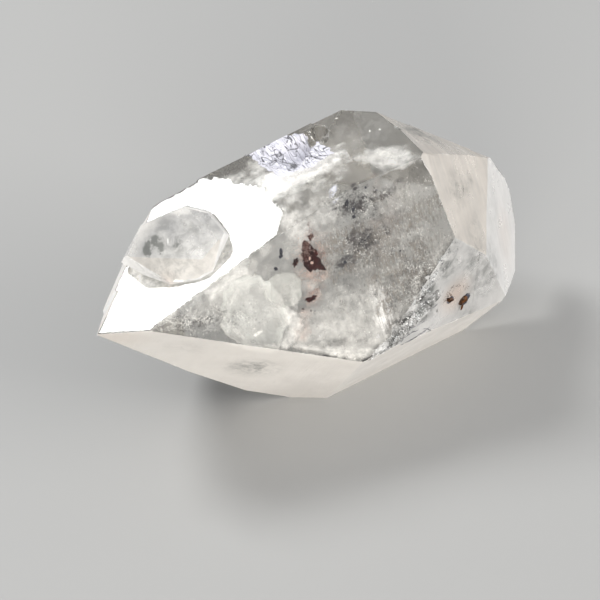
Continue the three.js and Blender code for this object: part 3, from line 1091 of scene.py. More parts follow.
def sheet_haze(points, reach, strength, contrast, wisp, thin, seed):
    """The thickness of the droplets, and the soft fall from the middle to a ragged rim that it starts from.

    The thickness is the fall times clouds of noise at three sizes, and fades out just below the skin.
    """
    narrow = min(1.0, 1.2 * min(reach))
    ragged = layered_noise(points, (0.4, 1.1 * narrow, seed + 2), (0.3, 0.45 * narrow, seed + 5))
    fall = eased(np.clip(SHEET_EDGE - np.hypot(SHEET_U, SHEET_V) * (1 + ragged), 0, 1))
    billows = layered_noise(
        points, (1, wisp, seed + 3), (0.55, wisp * 0.42, seed + 4), (0.3, wisp * 0.2, seed + 6))
    haze = strength * fall * np.clip(0.6 + contrast * (billows - thin), 0, 1)
    return haze * np.clip(depth_inside(points) / SKIN_MARGIN - 1, 0, 1), fall


def veil(name, material, centre, reach, face_name, heading, strength, contrast, wisp, thin, seed):
    """A bent sheet, cut to the part that has haze and lies inside, with its haze on its points."""
    points = bent_sheet(centre, reach, face_name, heading, seed)
    haze, fall = sheet_haze(points, reach, strength, contrast, wisp, thin, seed)
    kept = (fall > 0) & (depth_inside(points) > SKIN_MARGIN)
    used, quads = np.unique(SHEET_QUADS[kept[SHEET_QUADS].all(axis=1)], return_inverse=True)
    made = surface_object(name, points[used], quads.reshape(-1, 4), material)
    give_attribute(made.data, "haze", "POINT", haze[used])


print("a sheet is pushed in by, mm:", SHEET_GIVE, "at most")

# %% Every veil
VEIL_SEED, VEIL_SEED_STEP = 100, 7
TOP, BRIGHT = "prism_top", "sharp_bright"
VEILS = {
    # name: (kind, centre, reach, below which face, heading, strength, contrast, wisp size, thinness)
    "band_left": ("wisp", (-2.9, 0.8, 17.85), (2.1, 1.05), TOP, 35, 1.0, 0.6, 0.9, -1.0),
    "band_middle": ("wisp", (-0.7, 0.65, 18.2), (2.2, 1.0), TOP, 20, 1.0, 0.6, 0.9, -1.0),
    "band_right": ("wisp", (0.9, 0.3, 18.4), (1.5, 0.75), TOP, 22, 0.85, 0.8, 0.8, -0.4),
    "band_under": ("wisp", (-0.4, 0.3, 17.4), (3.2, 1.4), TOP, 20, 0.8, 0.8, 1.0, -0.3),
    "top_left": ("milk", (-4.6, 2.9, 17.2), (3.0, 1.2), TOP, 25, 0.8, 0.7, 0.8, -0.2),
    "top_patch": ("milk", (4.9, -2.6, 19.4), (1.5, 1.2), TOP, -8, 1.0, 0.5, 1.6, -0.7),
    "top_faint": ("milk", (3.6, 1.2, 18.0), (3.0, 1.8), TOP, 10, 0.08, 0.8, 1.2, 0.1),
    "top_wisps": ("wisp", (3.6, 1.6, 18.3), (3.2, 1.7), TOP, 20, 0.1, 1.3, 0.6, 0.1),
    "top_low": ("milk", (4.3, -1.9, 19.2), (1.6, 0.45), TOP, -2, 0.7, 0.5, 0.8, -0.3),
    "heart_high": ("wisp", (-2.2, -1.9, 16.9), (2.2, 1.6), UPPER, 80, 0.42, 1.0, 0.8, 0.1),
    "heart_middle": ("wisp", (-1.9, -1.9, 15.6), (2.2, 1.9), UPPER, 60, 0.3, 1.0, 0.8, 0.1),
    "heart_low": ("milk", (-2.6, -2.4, 13.8), (2.9, 2.4), UPPER, 40, 0.55, 0.6, 1.2, -0.1),
    "left_milk": ("milk", (-8.3, -2.6, 14.3), (2.7, 1.2), UPPER, 38, 0.6, 0.35, 1.5, -0.4),
    "left_low": ("milk", (-11.2, -2.9, 13.4), (2.6, 1.0), UPPER, 22, 0.2, 0.8, 0.7, 0.0),
    "lobe_milk": ("milk", (-7.6, -4.1, 12.2), (1.9, 1.9), UPPER, 60, 0.4, 0.4, 1.2, -0.3),
    "front_low": ("milk", (-1.2, -6.2, 10.9), (2.9, 2.2), UPPER, 10, 0.5, 0.35, 1.6, -0.2),
    "front_lower": ("milk", (-2.2, -6.6, 9.9), (3.2, 1.2), UPPER, 8, 0.4, 0.4, 1.2, -0.2),
    "front_corner": ("milk", (-0.9, -8.0, 9.1), (2.2, 1.0), UPPER, 14, 0.6, 0.25, 1.0, -0.2),
    "front_edge": ("milk", (2.2, -8.0, 10.4), (2.0, 0.6), UPPER, 48, 0.35, 0.6, 0.6, -0.1),
    "right_low": ("milk", (3.4, -5.4, 12.6), (2.6, 2.2), UPPER, 50, 0.1, 0.8, 0.7, 0.1),
    "right_rim": ("milk", (4.9, -7.3, 12.9), (2.4, 0.9), UPPER, 66, 0.22, 0.5, 0.6, -0.1),
    "right_mottle": ("wisp", (3.6, -5.0, 15.2), (2.6, 2.2), UPPER, 60, 0.2, 1.2, 0.6, 0.4),
    "right_blush": ("blush", (2.5, -4.6, 15.4), (2.4, 1.7), UPPER, 60, 0.2, 0.9, 0.7, 0.0),
    "right_top": ("milk", (5.2, -4.2, 17.8), (1.7, 1.7), UPPER, 60, 0.26, 0.3, 1.4, -0.2),
    "right_striae": ("striae", (4.6, -6.0, 13.8), (3.0, 2.4), UPPER, 95, 0.32, 0.5, 0.9, -0.1),
    "high_striae": ("striae", (4.6, -4.4, 17.7), (1.3, 1.8), UPPER, 95, 0.42, 0.4, 0.9, -0.1),
    "ghost_rim": ("milk", (-5.35, -5.5, 11.7), (1.1, 0.42), UPPER, 112, 0.85, 0.15, 1.4, -1.0),
    "ghost_rim_low": ("milk", (-5.95, -6.0, 10.65), (1.1, 0.4), UPPER, 62, 0.85, 0.15, 1.4, -1.0),
    "ghost_rim_high": ("milk", (-4.7, -4.7, 12.8), (1.1, 0.3), UPPER, 92, 0.3, 0.4, 1.0, -0.4),
    "ghost_arc": ("milk", (-9.5, -3.6, 12.95), (1.1, 0.16), UPPER, 93, 0.32, 0.2, 0.8, -1.5),
    "ghost_arc_high": ("milk", (-8.75, -3.3, 13.95), (1.2, 0.16), UPPER, 62, 0.3, 0.2, 0.8, -1.5),
    "ghost_arc_low": ("milk", (-9.15, -4.55, 11.6), (1.3, 0.17), UPPER, 130, 0.35, 0.2, 0.8, -1.5),
    "ghost_arc_foot": ("milk", (-7.75, -5.75, 10.5), (1.4, 0.2), UPPER, -8, 0.45, 0.2, 0.8, -1.5),
    "ghost_blush": ("blush", (-4.75, -5.9, 11.2), (1.4, 0.5), UPPER, 84, 0.3, 0.6, 0.7, -0.3),
    "ghost_dash": ("milk", (-7.9, -5.0, 11.3), (0.4, 0.14), UPPER, 20, 0.75, 0.4, 0.6, -0.8),
    "streak_left": ("striae", (1.1, -7.1, 11.0), (1.7, 0.75), UPPER, 101, 1.0, 0.6, 0.4, -0.6),
    "streak_right": ("brush", (1.0, -7.55, 10.75), (1.4, 0.42), UPPER, 101, 1.0, 0.4, 0.7, -0.6),
    "streak_middle": ("brush", (0.75, -7.4, 10.95), (1.7, 0.6), UPPER, 100, 1.0, 0.4, 0.7, -0.6),
    # Painted light: a white sheet below the bright face that lifts the dark under the small crystal.
    "painted_light_under_small": ("milk", (-12.6, 0.3, 14.15), (4.6, 3.0), BRIGHT, 20, 1.0, 0.15, 1.4, -2.0),
    "dust_high": ("dust", (1.0, -3.5, 17.9), (1.3, 0.95), UPPER, 20, 0.85, 1.2, 0.45, 0.0),
    "dust_band": ("dust", (2.8, -3.9, 18.0), (2.0, 0.5), UPPER, 28, 0.75, 1.2, 0.6, 0.1),
    "dust_middle": ("dust", (0.9, -4.9, 15.1), (1.6, 0.65), UPPER, 32, 0.8, 1.1, 0.6, 0.1),
    "dust_right": ("dust", (1.9, -4.6, 16.4), (1.6, 0.9), UPPER, 30, 0.5, 1.1, 0.7, 0.1),
    "dust_wide": ("dust", (2.8, -5.4, 14.6), (2.2, 2.4), UPPER, 60, 0.28, 1.1, 0.8, 0.2),
    "dust_low": ("dust", (-1.0, -4.9, 13.4), (0.9, 1.2), UPPER, 80, 0.35, 1.2, 0.6, 0.2),
    "dust_edge": ("dust", (2.9, -8.1, 10.0), (2.2, 0.22), UPPER, 46, 0.8, 1.2, 0.4, 0.0),
    "dust_corner": ("dust", (4.35, -7.85, 9.75), (1.1, 0.5), CORNER, 42, 0.9, 1.2, 0.35, -0.1),
    "dust_tip": ("dust", (-11.6, -3.3, 12.9), (2.4, 0.45), UPPER, 12, 0.4, 1.2, 0.4, 0.2),
    "blush_iron": ("blush", (-2.5, -3.7, 14.4), (1.6, 1.1), UPPER, 80, 0.55, 0.9, 0.5, -0.1),
    "blush_low": ("blush", (-3.3, -5.0, 12.8), (1.1, 0.6), UPPER, 85, 0.55, 0.9, 0.5, 0.0),
    # Painted light: a white sheet that lifts the dark crescent at the right of the small crystal.
    "painted_light_under_small_right": ("milk", (-8.2, -1.3, 15.7), (2.6, 1.5), BRIGHT, 55, 1.0, 0.15, 1.2, -2.0),
    "band_core": ("milk", (-1.0, 0.0, 18.3), (2.1, 0.5), TOP, 24, 1.0, 0.3, 0.7, -0.9),
    "front_gap": ("milk", (-4.3, -6.4, 10.3), (1.5, 1.2), UPPER, 70, 0.55, 0.4, 1.0, -0.3),
    "front_bottom": ("milk", (-1.7, -8.2, 8.75), (2.7, 0.45), UPPER, -10, 0.66, 0.3, 0.8, -0.6),
    # Painted shade: grey sheets below the upper front face and the tip, darkening the clear body.
    "painted_shade_right": ("smoke", (3.6, -6.1, 14.7), (3.6, 3.0), UPPER, 60, 0.75, 0.7, 0.9, -0.2),
    "painted_shade_low": ("smoke", (2.6, -7.05, 12.6), (2.8, 2.0), UPPER, 40, 0.85, 0.7, 0.7, -0.2),
    "painted_shade_middle": ("smoke", (-0.2, -4.75, 15.2), (2.3, 1.7), UPPER, 30, 0.95, 0.8, 0.7, -0.2),
    "painted_shade_top": ("smoke", (5.1, -4.5, 17.6), (1.7, 1.7), UPPER, 60, 0.3, 0.7, 0.6, -0.2),
    "painted_shade_tip": ("smoke", (-12.4, -3.15, 13.4), (3.0, 0.6), UPPER, 14, 0.25, 1.0, 0.4, 0.0),
    "seam_high": ("mist", (6.0, -7.42, 13.6), (2.3, 0.55), UPPER, 60, 0.75, 0.7, 0.45, -0.2),
    "seam_low": ("mist", (3.9, -7.85, 11.7), (1.8, 0.6), UPPER, 60, 0.6, 0.9, 0.4, -0.1),
    "rust_iron": ("rust", (-2.76, -3.8, 15.2), (1.35, 0.7), UPPER, 120, 0.6, 1.1, 0.35, 0.1),
    "rust_wisp": ("rust", (-2.45, -3.1, 16.8), (0.55, 0.3), UPPER, 100, 0.55, 1.1, 0.3, 0.0),
    "rust_low": ("rust", (-3.5, -4.95, 12.9), (0.6, 0.35), UPPER, 20, 0.4, 1.1, 0.3, 0.0),
    "smudge_core": ("dust", (0.65, -3.6, 17.9), (0.75, 0.55), UPPER, 100, 1.0, 1.3, 0.3, -0.1),
    "smudge_middle": ("dust", (0.6, -4.7, 15.7), (1.1, 0.4), UPPER, 30, 0.9, 1.2, 0.35, 0.0),
    "pearl": ("pearl", (0.2, -2.4, 18.35), (0.5, 0.3), UPPER, 78, 0.95, 0.9, 0.3, -0.6),
    "smudge_low_core": ("dust", (-0.75, -5.1, 14.6), (1.0, 0.45), UPPER, 25, 1.0, 1.3, 0.35, -0.1),
    "smudge_right": ("dust", (1.2, -4.95, 15.45), (1.5, 0.6), UPPER, 20, 0.9, 1.3, 0.4, 0.0),
    "smudge_steep": ("dust", (0.5, -4.4, 16.3), (1.2, 0.35), UPPER, 70, 0.5, 1.3, 0.35, 0.0),
    # Painted shade below the top face.
    "painted_shade_high": ("smoke", (3.7, 2.6, 18.5), (2.0, 1.1), TOP, 10, 0.4, 0.7, 0.8, -0.2),
    "rust_heart": ("rust", (-2.35, -3.6, 15.3), (1.1, 0.4), UPPER, 118, 0.3, 1.0, 0.3, -0.1),
    "right_glow": ("milk", (4.4, -5.7, 15.3), (1.3, 1.0), UPPER, 40, 0.22, 1.3, 0.6, 0.2),
    "front_under": ("milk", (-3.3, -7.55, 8.95), (3.2, 0.6), "sharp_front", -22, 0.75, 0.2, 1.2, -1.5),
}
for number, (name, (kind, *values)) in enumerate(VEILS.items()):
    veil("veil_" + name, veil_materials[kind], *values, VEIL_SEED + VEIL_SEED_STEP * number)
print("veils:", len(VEILS))

# %% [markdown]
# ## Milky grains
# Between the veils hang single droplets, too big to melt into a haze. They could be little balls, but one
# of them is smaller than a dot of a render, so each is a closed four-sided chip. Thousands are thrown
# into soft ellipsoids, and are kept where soft noise is high, so that they gather in wisps.

# %% Chips, and the places for them
CHIP = np.array([[1, 1, 1], [1, -1, -1], [-1, 1, -1], [-1, -1, 1]]) / np.sqrt(3)
CHIP_FACES = np.array([[0, 1, 2], [0, 3, 1], [0, 2, 3], [1, 3, 2]])
MILKY_MARGIN = 0.7
CLOUD_SEED = 11


def random_turns(count, rng):
    """One random rotation matrix for each grain, from a random unit quaternion."""
    w, x, y, z = unit(rng.normal(size=(count, 4))).T
    return np.stack([
        1 - 2 * (y * y + z * z), 2 * (x * y - w * z), 2 * (x * z + w * y),
        2 * (x * y + w * z), 1 - 2 * (x * x + z * z), 2 * (y * z - w * x),
        2 * (x * z - w * y), 2 * (y * z + w * x), 1 - 2 * (x * x + y * y),
    ], axis=1).reshape(-1, 3, 3)


def grains(name, places, size, material, rng):
    """Joins one closed chip at each place, turned its own way, from half to one and a half times size."""
    low, high = np.array(cad_box) / MM
    places = np.clip(places, low + 1.5 * size, high - 1.5 * size)
    turns = random_turns(len(places), rng)
    sizes = size * rng.uniform(0.5, 1.5, len(places))
    points = places[:, None] + np.einsum("kc,nrc->nkr", CHIP, turns) * sizes[:, None, None]
    chips = CHIP_FACES[None] + 4 * np.arange(len(places))[:, None, None]
    surface_object(name, points.reshape(-1, 3), chips.reshape(-1, 3), material, smooth=False)


def wispy(places, wisp, seed):
    """Soft noise of this size, and a little over half as much that is finer."""
    return layered_noise(places, (1, wisp, seed), (0.6, wisp * 0.4, seed + 1))


def cloud(centre, reach, count, wisp, thin, rng):
    """Places in a soft ellipsoid, kept where the noise is above thin and well below the frosted faces."""
    places = np.array(centre) + rng.normal(size=(count, 3)) * np.array(reach) * 0.5
    inside = (depth_inside(places) > SKIN_MARGIN) & (depth_below_milky(places) > MILKY_MARGIN)
    return places[(wispy(places, wisp, CLOUD_SEED) > thin) & inside]


def clouds(rows, rng):
    """The places of several clouds in one list."""
    return np.vstack([cloud(*row, rng) for row in rows.values()])


print("points on a chip:", len(CHIP))

# %% Milky grains
HAZE = {
    # name: (centre, reach, grains tried, wisp size, thinness)
    "band": ((-0.4, 0.4, 17.9), (4.0, 1.1, 0.8), 3000, 0.9, 0.0),
    "heart": ((-1.2, -1.2, 15.6), (2.8, 1.4, 2.6), 3000, 1.1, 0.1),
    "lower_front": ((-1.6, -5.0, 10.4), (3.2, 1.4, 2.2), 1200, 1.3, 0.1),
    "right_front": ((3.6, -5.6, 12.0), (4.0, 1.8, 3.2), 2600, 1.0, 0.2),
    "low_edge": ((-11.0, -3.9, 12.4), (5.0, 0.5, 0.9), 2600, 0.7, 0.0),
}
GRAINS_SEED = 7
MILKY_SIZE = 0.018
rng = np.random.default_rng(GRAINS_SEED)
grains("milky_grains", clouds(HAZE, rng), MILKY_SIZE, milk, rng)

# %% [markdown]
# ## Dark dust and pink stain
# Between the white clouds the stone has dark smudges, where fine iron dust was trapped, and a pink stain
# round the iron flakes. Veils give them their tone. Grains, made as the milky ones are, give them their bite.

# %% Dark dust and pink stain
DUST_SIZE, STAIN_SIZE = 0.022, 0.026
DUST = {
    # name: (centre, reach, grains tried, wisp size, thinness)
    "smudge_high": ((1.1, -3.4, 18.0), (1.3, 0.4, 0.9), 1600, 0.5, 0.3),
    "smudge_band": ((3.0, -3.8, 17.8), (2.4, 0.4, 0.8), 1200, 0.6, 0.4),
    "smudge_middle": ((1.0, -4.8, 15.0), (1.8, 0.5, 1.0), 1400, 0.6, 0.35),
    "smudge_low": ((-3.0, -4.3, 13.0), (0.7, 0.4, 0.9), 300, 0.5, 0.1),
    "low_edge": ((-11.0, -4.1, 12.2), (4.6, 0.4, 0.7), 900, 0.6, 0.1),
}
STAIN = {
    # name: (centre, reach, grains tried, wisp size, thinness)
    "round_iron": ((-2.6, -3.6, 14.6), (1.4, 0.5, 2.2), 5000, 0.6, 0.1),
    "round_amber": ((7.5, -7.2, 8.6), (1.5, 0.3, 1.5), 2400, 0.6, 0.0),
}
dust = pale_material("iron_dust", (0.03, 0.03, 0.035, 1), (0.09, 0.08, 0.08, 1), 900.0, 0.5)
stain = pale_material("iron_stain", (0.62, 0.42, 0.36, 1), (0.78, 0.6, 0.52, 1), 900.0)
grains("dark_smudges", clouds(DUST, rng), DUST_SIZE, dust, rng)
grains("pink_stain", clouds(STAIN, rng), STAIN_SIZE, stain, rng)

# %% [markdown]
# ## Grit below the front face
# Just below the upper front face lies fine grit: bright where a speck throws the light back, dark where it
# holds iron. It could be a speckled texture on the face, but then it would not shift against what lies
# behind it. So each patch is a thin layer of chips that follows the face, drawn in the face's directions.

# %% Bright and dark grit
LAYER_MARGIN = 0.05
BRIGHT_SIZE, DARK_SIZE = 0.036, 0.034
BRIGHT_SEED, DARK_SEED = 31, 41
GRIT = {
    # name: (centre, reach across, up and through, grains tried, wisp size, thinness)
    "corner": ((4.1, -7.8, 11.8), (1.6, 2.2, 0.12), 2200, 0.35, 0.0),
    "right": ((2.9, -6.9, 12.9), (3.4, 3.0, 0.3), 2600, 0.5, 0.1),
    "high_right": ((4.2, -5.6, 15.6), (2.6, 3.0, 0.3), 800, 0.5, 0.1),
    "high_corner": ((5.3, -4.6, 17.7), (1.8, 2.2, 0.3), 300, 0.5, 0.1),
    "tip": ((-12.2, -3.25, 13.45), (4.0, 0.9, 0.15), 1500, 0.4, 0.0),
    "middle": ((0.5, -4.8, 15.3), (2.6, 2.0, 0.3), 900, 0.4, 0.1),
    "high": ((1.2, -3.6, 17.9), (2.4, 1.2, 0.25), 1200, 0.35, 0.1),
}


def layer(centre, reach, count, wisp, thin, rng, seed):
    """Places in a thin layer below the upper front face, kept where the noise is above thin."""
    spots = rng.normal(size=(count, 3)) * np.array(reach) * 0.5
    places = np.array(centre) + spots @ np.stack(face_frame(UPPER))
    return places[(wispy(places, wisp, seed) > thin) & (depth_inside(places) > LAYER_MARGIN)]


bright_grit, dark_grit = (
    np.vstack([layer(*row, rng, seed) for row in GRIT.values()]) for seed in (BRIGHT_SEED, DARK_SEED)
)
grains("bright_grit", bright_grit, BRIGHT_SIZE, milk, rng)
grains("dark_grit", dark_grit, DARK_SIZE, dust, rng)

# %% [markdown]
# ## Iron flakes
# Thin plates of hematite lie in the heart of the crystal: black where they are thick, blood red where light
# passes. Each is a lens with a ragged outline. The outline could be cut from a plane, but a lens catches the
# light on its curve. A few listed points give each outline, joined by their angle and distance from the
# middle. Rings of points shrink from there to the middle, above and below, and meet at the rim.

# %% Rings with closed ends
RINGS, SPOKES = 14, 72
EDGE_POWER = 9
INNERMOST = 0.02


def closed_rings(rings, spokes):
    """The triangles over rings of points, with a fan to one more point at each end.

    Each ring's points are numbered in turn, and the two end points come last.
    """
    spoke = np.arange(spokes)
    after = (spoke + 1) % spokes
    ring = np.arange(rings - 1)[:, None] * spokes
    here, there = (ring + spoke).ravel(), (ring + after).ravel()
    last_ring, ends = (rings - 1) * spokes, rings * spokes
    return np.vstack([
        np.stack([here, there, there + spokes], axis=1),
        np.stack([here, there + spokes, here + spokes], axis=1),
        np.stack([np.full(spokes, ends), after, spoke], axis=1),
        np.stack([np.full(spokes, ends + 1), last_ring + spoke, last_ring + after], axis=1),
    ])


print("triangles on a flake:", len(closed_rings(2 * RINGS - 1, SPOKES)))

# %% A flake


def rim_of(outline, bearing, turn, ragged, seed):
    """The distance to the rim along each bearing: between the set points, then roughened by noise."""
    outline = np.array(outline)
    angle = np.arctan2(outline[:, 1], outline[:, 0])
    order = angle.argsort()
    radius = np.interp(turn, angle[order], np.hypot(*outline.T)[order], period=2 * np.pi)
    return radius * (1 + ragged * soft_noise(bearing * 3 + seed, 0.5, seed))


def flake(name, centre, outline, thickness, ragged, material, seed, curl=0.1):
    """A closed ragged lens below the upper front face: half an ellipse high, on a face that noise has curled.

    The share of the way to the rim, to a high power, is stored on its points as its edge.
    """
    across, upward, normal = face_frame(UPPER)
    turn = np.linspace(-np.pi, np.pi, SPOKES, endpoint=False)
    bearing = np.stack([np.cos(turn), np.sin(turn), np.zeros(SPOKES)], axis=1)
    radius = rim_of(outline, bearing, turn, ragged, seed)
    share = np.concatenate([np.linspace(INNERMOST, 1, RINGS), np.linspace(1, INNERMOST, RINGS)[1:]])
    side = np.concatenate([np.ones(RINGS), -np.ones(RINGS - 1)])
    flat = share[:, None, None] * radius[None, :, None] * bearing[None, :, :2]
    lift = side[:, None] * thickness * np.sqrt(np.maximum(1 - share**2, 0))[:, None] * np.ones(SPOKES)
    wave = curl * soft_noise(np.dstack([flat, np.full(lift.shape, seed)]).reshape(-1, 3), 0.7, seed + 1)
    lift, flat = lift.reshape(-1) + wave, flat.reshape(-1, 2)
    points = np.array(centre) + flat[:, :1] * across + flat[:, 1:] * upward + lift[:, None] * normal
    points = np.vstack([points, points[:SPOKES].mean(axis=0), points[-SPOKES:].mean(axis=0)])
    made = surface_object(name, points, closed_rings(len(share), SPOKES), material)
    edge = np.append(np.repeat(share, SPOKES) ** EDGE_POWER, [0, 0])
    give_attribute(made.data, "edge", "POINT", edge)


print("points round a flake:", SPOKES)

# %% Every flake
FLAKE_SEED = 20
FLAKES = {
    # name: (centre, outline in mm across and up, thickness, ragged)
    "hematite_main": (
        (-2.7, -3.95, 15.1),
        [(-0.65, 1.35), (-0.3, 1.0), (0.07, 0.68), (0.28, 0.05), (0.62, -0.5), (1.1, -1.0),
         (0.35, -0.95), (-0.29, -0.94), (-0.58, -0.58), (-0.66, -0.1), (-0.8, 0.7)], 0.08, 0.13),
    "hematite_wisp": (
        (-2.5, -3.35, 16.45),
        [(0.1, 0.25), (0.06, -0.1), (0.05, -0.25), (-0.08, -0.15), (-0.1, 0.2)], 0.03, 0.4),
    "hematite_side": (
        (-4.0, -3.7, 15.1), [(0.1, 0.3), (0.13, -0.1), (-0.03, -0.3), (-0.12, 0.1)], 0.04, 0.4),
    "hematite_low": (
        (-3.6, -5.1, 12.5),
        [(0.42, 0.2), (0.14, -0.1), (-0.2, -0.2), (-0.36, -0.08), (0.0, 0.06)], 0.04, 0.4),
}
hematite = pale_material("hematite", (0.006, 0.001, 0.001, 1), (0.05, 0.006, 0.004, 1), 2200.0, 0.6)
set_inputs(hematite.node_tree.nodes["Principled BSDF"], {"Metallic": 0.1, "Specular IOR Level": DULL})
for number, (name, values) in enumerate(FLAKES.items()):
    flake(name, *values, hematite, FLAKE_SEED + number)

# %% [markdown]
# ## Blobs: amber drops, dark specks, holes and sparkles
# Several small things are rounded: two amber-brown drops with their crumbs, dark specks, pale holes in the
# iron flake, a few bright bubbles and one painted highlight, a glint in the small crystal's window. They
# could be spheres, but nothing in a stone is that even. So one function makes them all: a ball of rings from
# pole to pole, stretched, and roughened by noise. What lies on the broken corner is laid down flat, or it
# would stand out of the face.

# %% A rough ball
BALL_ROWS, BALL_SPOKES = 18, 32


def ball_points(rows, spokes):
    """Unit directions in rings from one pole to the other, and then the two poles."""
    tilt = np.linspace(0, np.pi, rows + 2)[1:-1, None]
    turn = np.linspace(0, 2 * np.pi, spokes, endpoint=False)[None, :]
    rings = np.stack([np.sin(tilt) * np.cos(turn), np.sin(tilt) * np.sin(turn),
                      np.cos(tilt) * np.ones_like(turn)], axis=-1).reshape(-1, 3)
    return np.vstack([rings, [0, 0, 1], [0, 0, -1]])


def blob(centre, radii, bumps, seed, size=0.8):
    """A ball, roughened by noise and stretched across, upward and towards the viewer's side."""
    radius = 1 + bumps * (soft_noise(BALL + seed, size, seed) + 0.5 * soft_noise(BALL + seed, size / 2, seed))
    shape = BALL * radius[:, None] * np.array(radii)
    return np.array(centre) + shape @ np.stack([ACROSS, UPWARD, TOWARDS]), BALL_FACES


def joined(parts):
    """Several closed surfaces as one list of points and one of triangles."""
    starts = np.cumsum([0] + [len(points) for points, _ in parts[:-1]])
    return (np.vstack([points for points, _ in parts]),
            np.vstack([faces + start for (_, faces), start in zip(parts, starts)]))


def laid_flat(points, face_name, share=0.65):
    """Points above a crystal face, brought this share of the way down to it."""
    number = face_names.index(face_name)
    above = np.clip(-depths(points)[:, number], 0, None)
    return points - share * np.outer(above, face_normals[number])


BALL = ball_points(BALL_ROWS, BALL_SPOKES)
BALL_FACES = closed_rings(BALL_ROWS, BALL_SPOKES)[:, [0, 2, 1]]
print("triangles on a blob:", len(BALL_FACES))

# %% Every blob
HOLES = {
    # name: (centre, radii in mm across, upward and towards the viewer)
    "iron_hole": ((-2.95, -4.25, 14.95), (0.12, 0.1, 0.05)),
    "iron_hole_high": ((-3.05, -4.15, 15.3), (0.08, 0.14, 0.05)),
}
SPARKLES = {
    # name: (centre, radii in mm across, upward and towards the viewer)
    "top_back": ((4.15, 3.31, 19.2), (0.09, 0.06, 0.03)),
    "top_middle": ((5.09, 0.52, 19.6), (0.05, 0.09, 0.03)),
    "top_right": ((5.72, 0.2, 19.7), (0.08, 0.07, 0.03)),
    "front_high": ((6.1, -5.0, 18.0), (0.06, 0.05, 0.03)),
    "lobe_dot": ((-8.6, -4.1, 12.5), (0.06, 0.08, 0.04)),
    "foot_sliver": ((-11.85, -1.2, 15.38), (0.34, 0.12, 0.05)),
    # Painted highlight: a thin glowing milky sliver for a glint in the small crystal's window.
    "window_glint": ((-11.5, 0.62, 17.35), (0.025, 0.24, 0.02)),
}
AMBER = {
    # name: (centre, radii in mm across, upward and towards the viewer)
    "drop": ((8.12, -7.5, 7.9), (0.46, 0.38, 0.2)),
    "drop_tail": ((8.02, -7.62, 7.4), (0.1, 0.34, 0.08)),
    "drop_small": ((6.72, -7.76, 8.82), (0.22, 0.2, 0.14)),
    "drop_crumb": ((7.02, -7.66, 8.62), (0.13, 0.09, 0.08)),
    "drop_crumb_left": ((6.5, -7.78, 9.1), (0.1, 0.08, 0.06)),
    "drop_crumb_high": ((6.8, -7.74, 9.3), (0.07, 0.06, 0.05)),
}
SPECKS = {
    # name: (centre, radii in mm across, upward and towards the viewer)
    "blue_black": ((-4.64, -2.79, 15.75), (0.1, 0.22, 0.08)),
    "blue_black_tail": ((-4.72, -2.9, 15.45), (0.14, 0.1, 0.08)),
    "blue_black_small": ((-5.3, -3.17, 14.76), (0.12, 0.12, 0.1)),
    "low_left": ((-4.24, -4.99, 11.79), (0.09, 0.07, 0.07)),
    "low_middle": ((-3.74, -5.25, 11.54), (0.07, 0.08, 0.07)),
    "low_right": ((-3.47, -5.34, 11.47), (0.06, 0.06, 0.06)),
    "drop_rim": ((8.17, -7.4, 7.86), (0.54, 0.46, 0.1)),
    "drop_small_rim": ((6.76, -7.66, 8.8), (0.26, 0.24, 0.08)),
    "smudge_left": ((0.47, -3.44, 18.22), (0.11, 0.22, 0.06)),
    "smudge_middle": ((0.78, -3.8, 17.75), (0.12, 0.24, 0.06)),
    "smudge_low": ((0.7, -3.95, 17.2), (0.12, 0.14, 0.05)),
    "smudge_high": ((1.97, -3.6, 19.0), (0.08, 0.08, 0.05)),
    "smudge_far": ((2.6, -3.92, 18.68), (0.06, 0.07, 0.04)),
    "middle_dot": ((1.0, -4.98, 15.6), (0.07, 0.06, 0.04)),
    "middle_left": ((-0.75, -5.12, 14.5), (0.12, 0.09, 0.05)),
    "right_dot": ((3.2, -6.2, 14.4), (0.06, 0.06, 0.04)),
}
amber = pale_material("amber_drop", (0.006, 0.002, 0.001, 1), (0.11, 0.04, 0.008, 1), 3000.0, 0.35)
set_inputs(amber.node_tree.nodes["Principled BSDF"], {"Specular IOR Level": 0.2})
speck = pale_material("dark_speck", (0.02, 0.022, 0.03, 1), (0.05, 0.05, 0.07, 1), 3000.0, 0.35)
BLOBS = {
    # name: (rows, bumps, first seed, material, whether it is laid flat)
    "iron_holes": (HOLES, 0.3, 80, stain, False),
    "sparkles": (SPARKLES, 0.4, 90, milk, False),
    "amber_drops": (AMBER, 0.45, 30, amber, True),
    "dark_specks": (SPECKS, 0.55, 40, speck, True),
}
for name, (rows, bumps, first_seed, material, is_flat) in BLOBS.items():
    parts = [blob(*row, bumps, first_seed + number) for number, row in enumerate(rows.values())]
    points, triangles = joined(parts)
    surface_object(name, laid_flat(points, CORNER) if is_flat else points, triangles, material)

# %% [markdown]
# ## Bruised ridges, painted edge highlights and crumbs
# Along the ridges tiny white chips cling to the edge. They stand for bruises in the quartz, and they are
# also painted highlight: they draw the thin bright lines that the edges catch. Larger crumbs fill the broken
# front edge, and dust lies along the seam of the broken corner. A rougher finish could hint at them, but a
# loose chip throws its own light. So they are grains again, set on the skin's own points and sunk in.

# %% Bruises, crumbs and dust
CORNER_CLEAN = ((7.2, -7.3, 14.6), (4.2, -8.1, 11.2), 0.8)
CORNER_DUSTED = ((6.9, -7.4, 13.8), (3.4, -8.2, 10.2), 1.5)
SKIN_SCATTER = 0.03
BRUISE_AND_HIGHLIGHT_LEAST, CRUMBLY_LEAST, DUSTY_LEAST = 0.25, 0.5, 0.55


def on_skin(chosen, count, rng, sink):
    """Places drawn from the chosen points of the skin, shifted a little and sunk below it."""
    picked = rng.choice(np.flatnonzero(chosen), count)
    shift = rng.normal(size=(count, 3)) * SKIN_SCATTER
    return skin_points[picked] - skin_out[picked] * sink + shift


def ragged_zone(zone, seed, least):
    """The points of the skin where nearness to a line, with noise added, is above the least."""
    return nearness(skin_points, *zone) + 0.5 * soft_noise(skin_points, 0.5, seed) > least


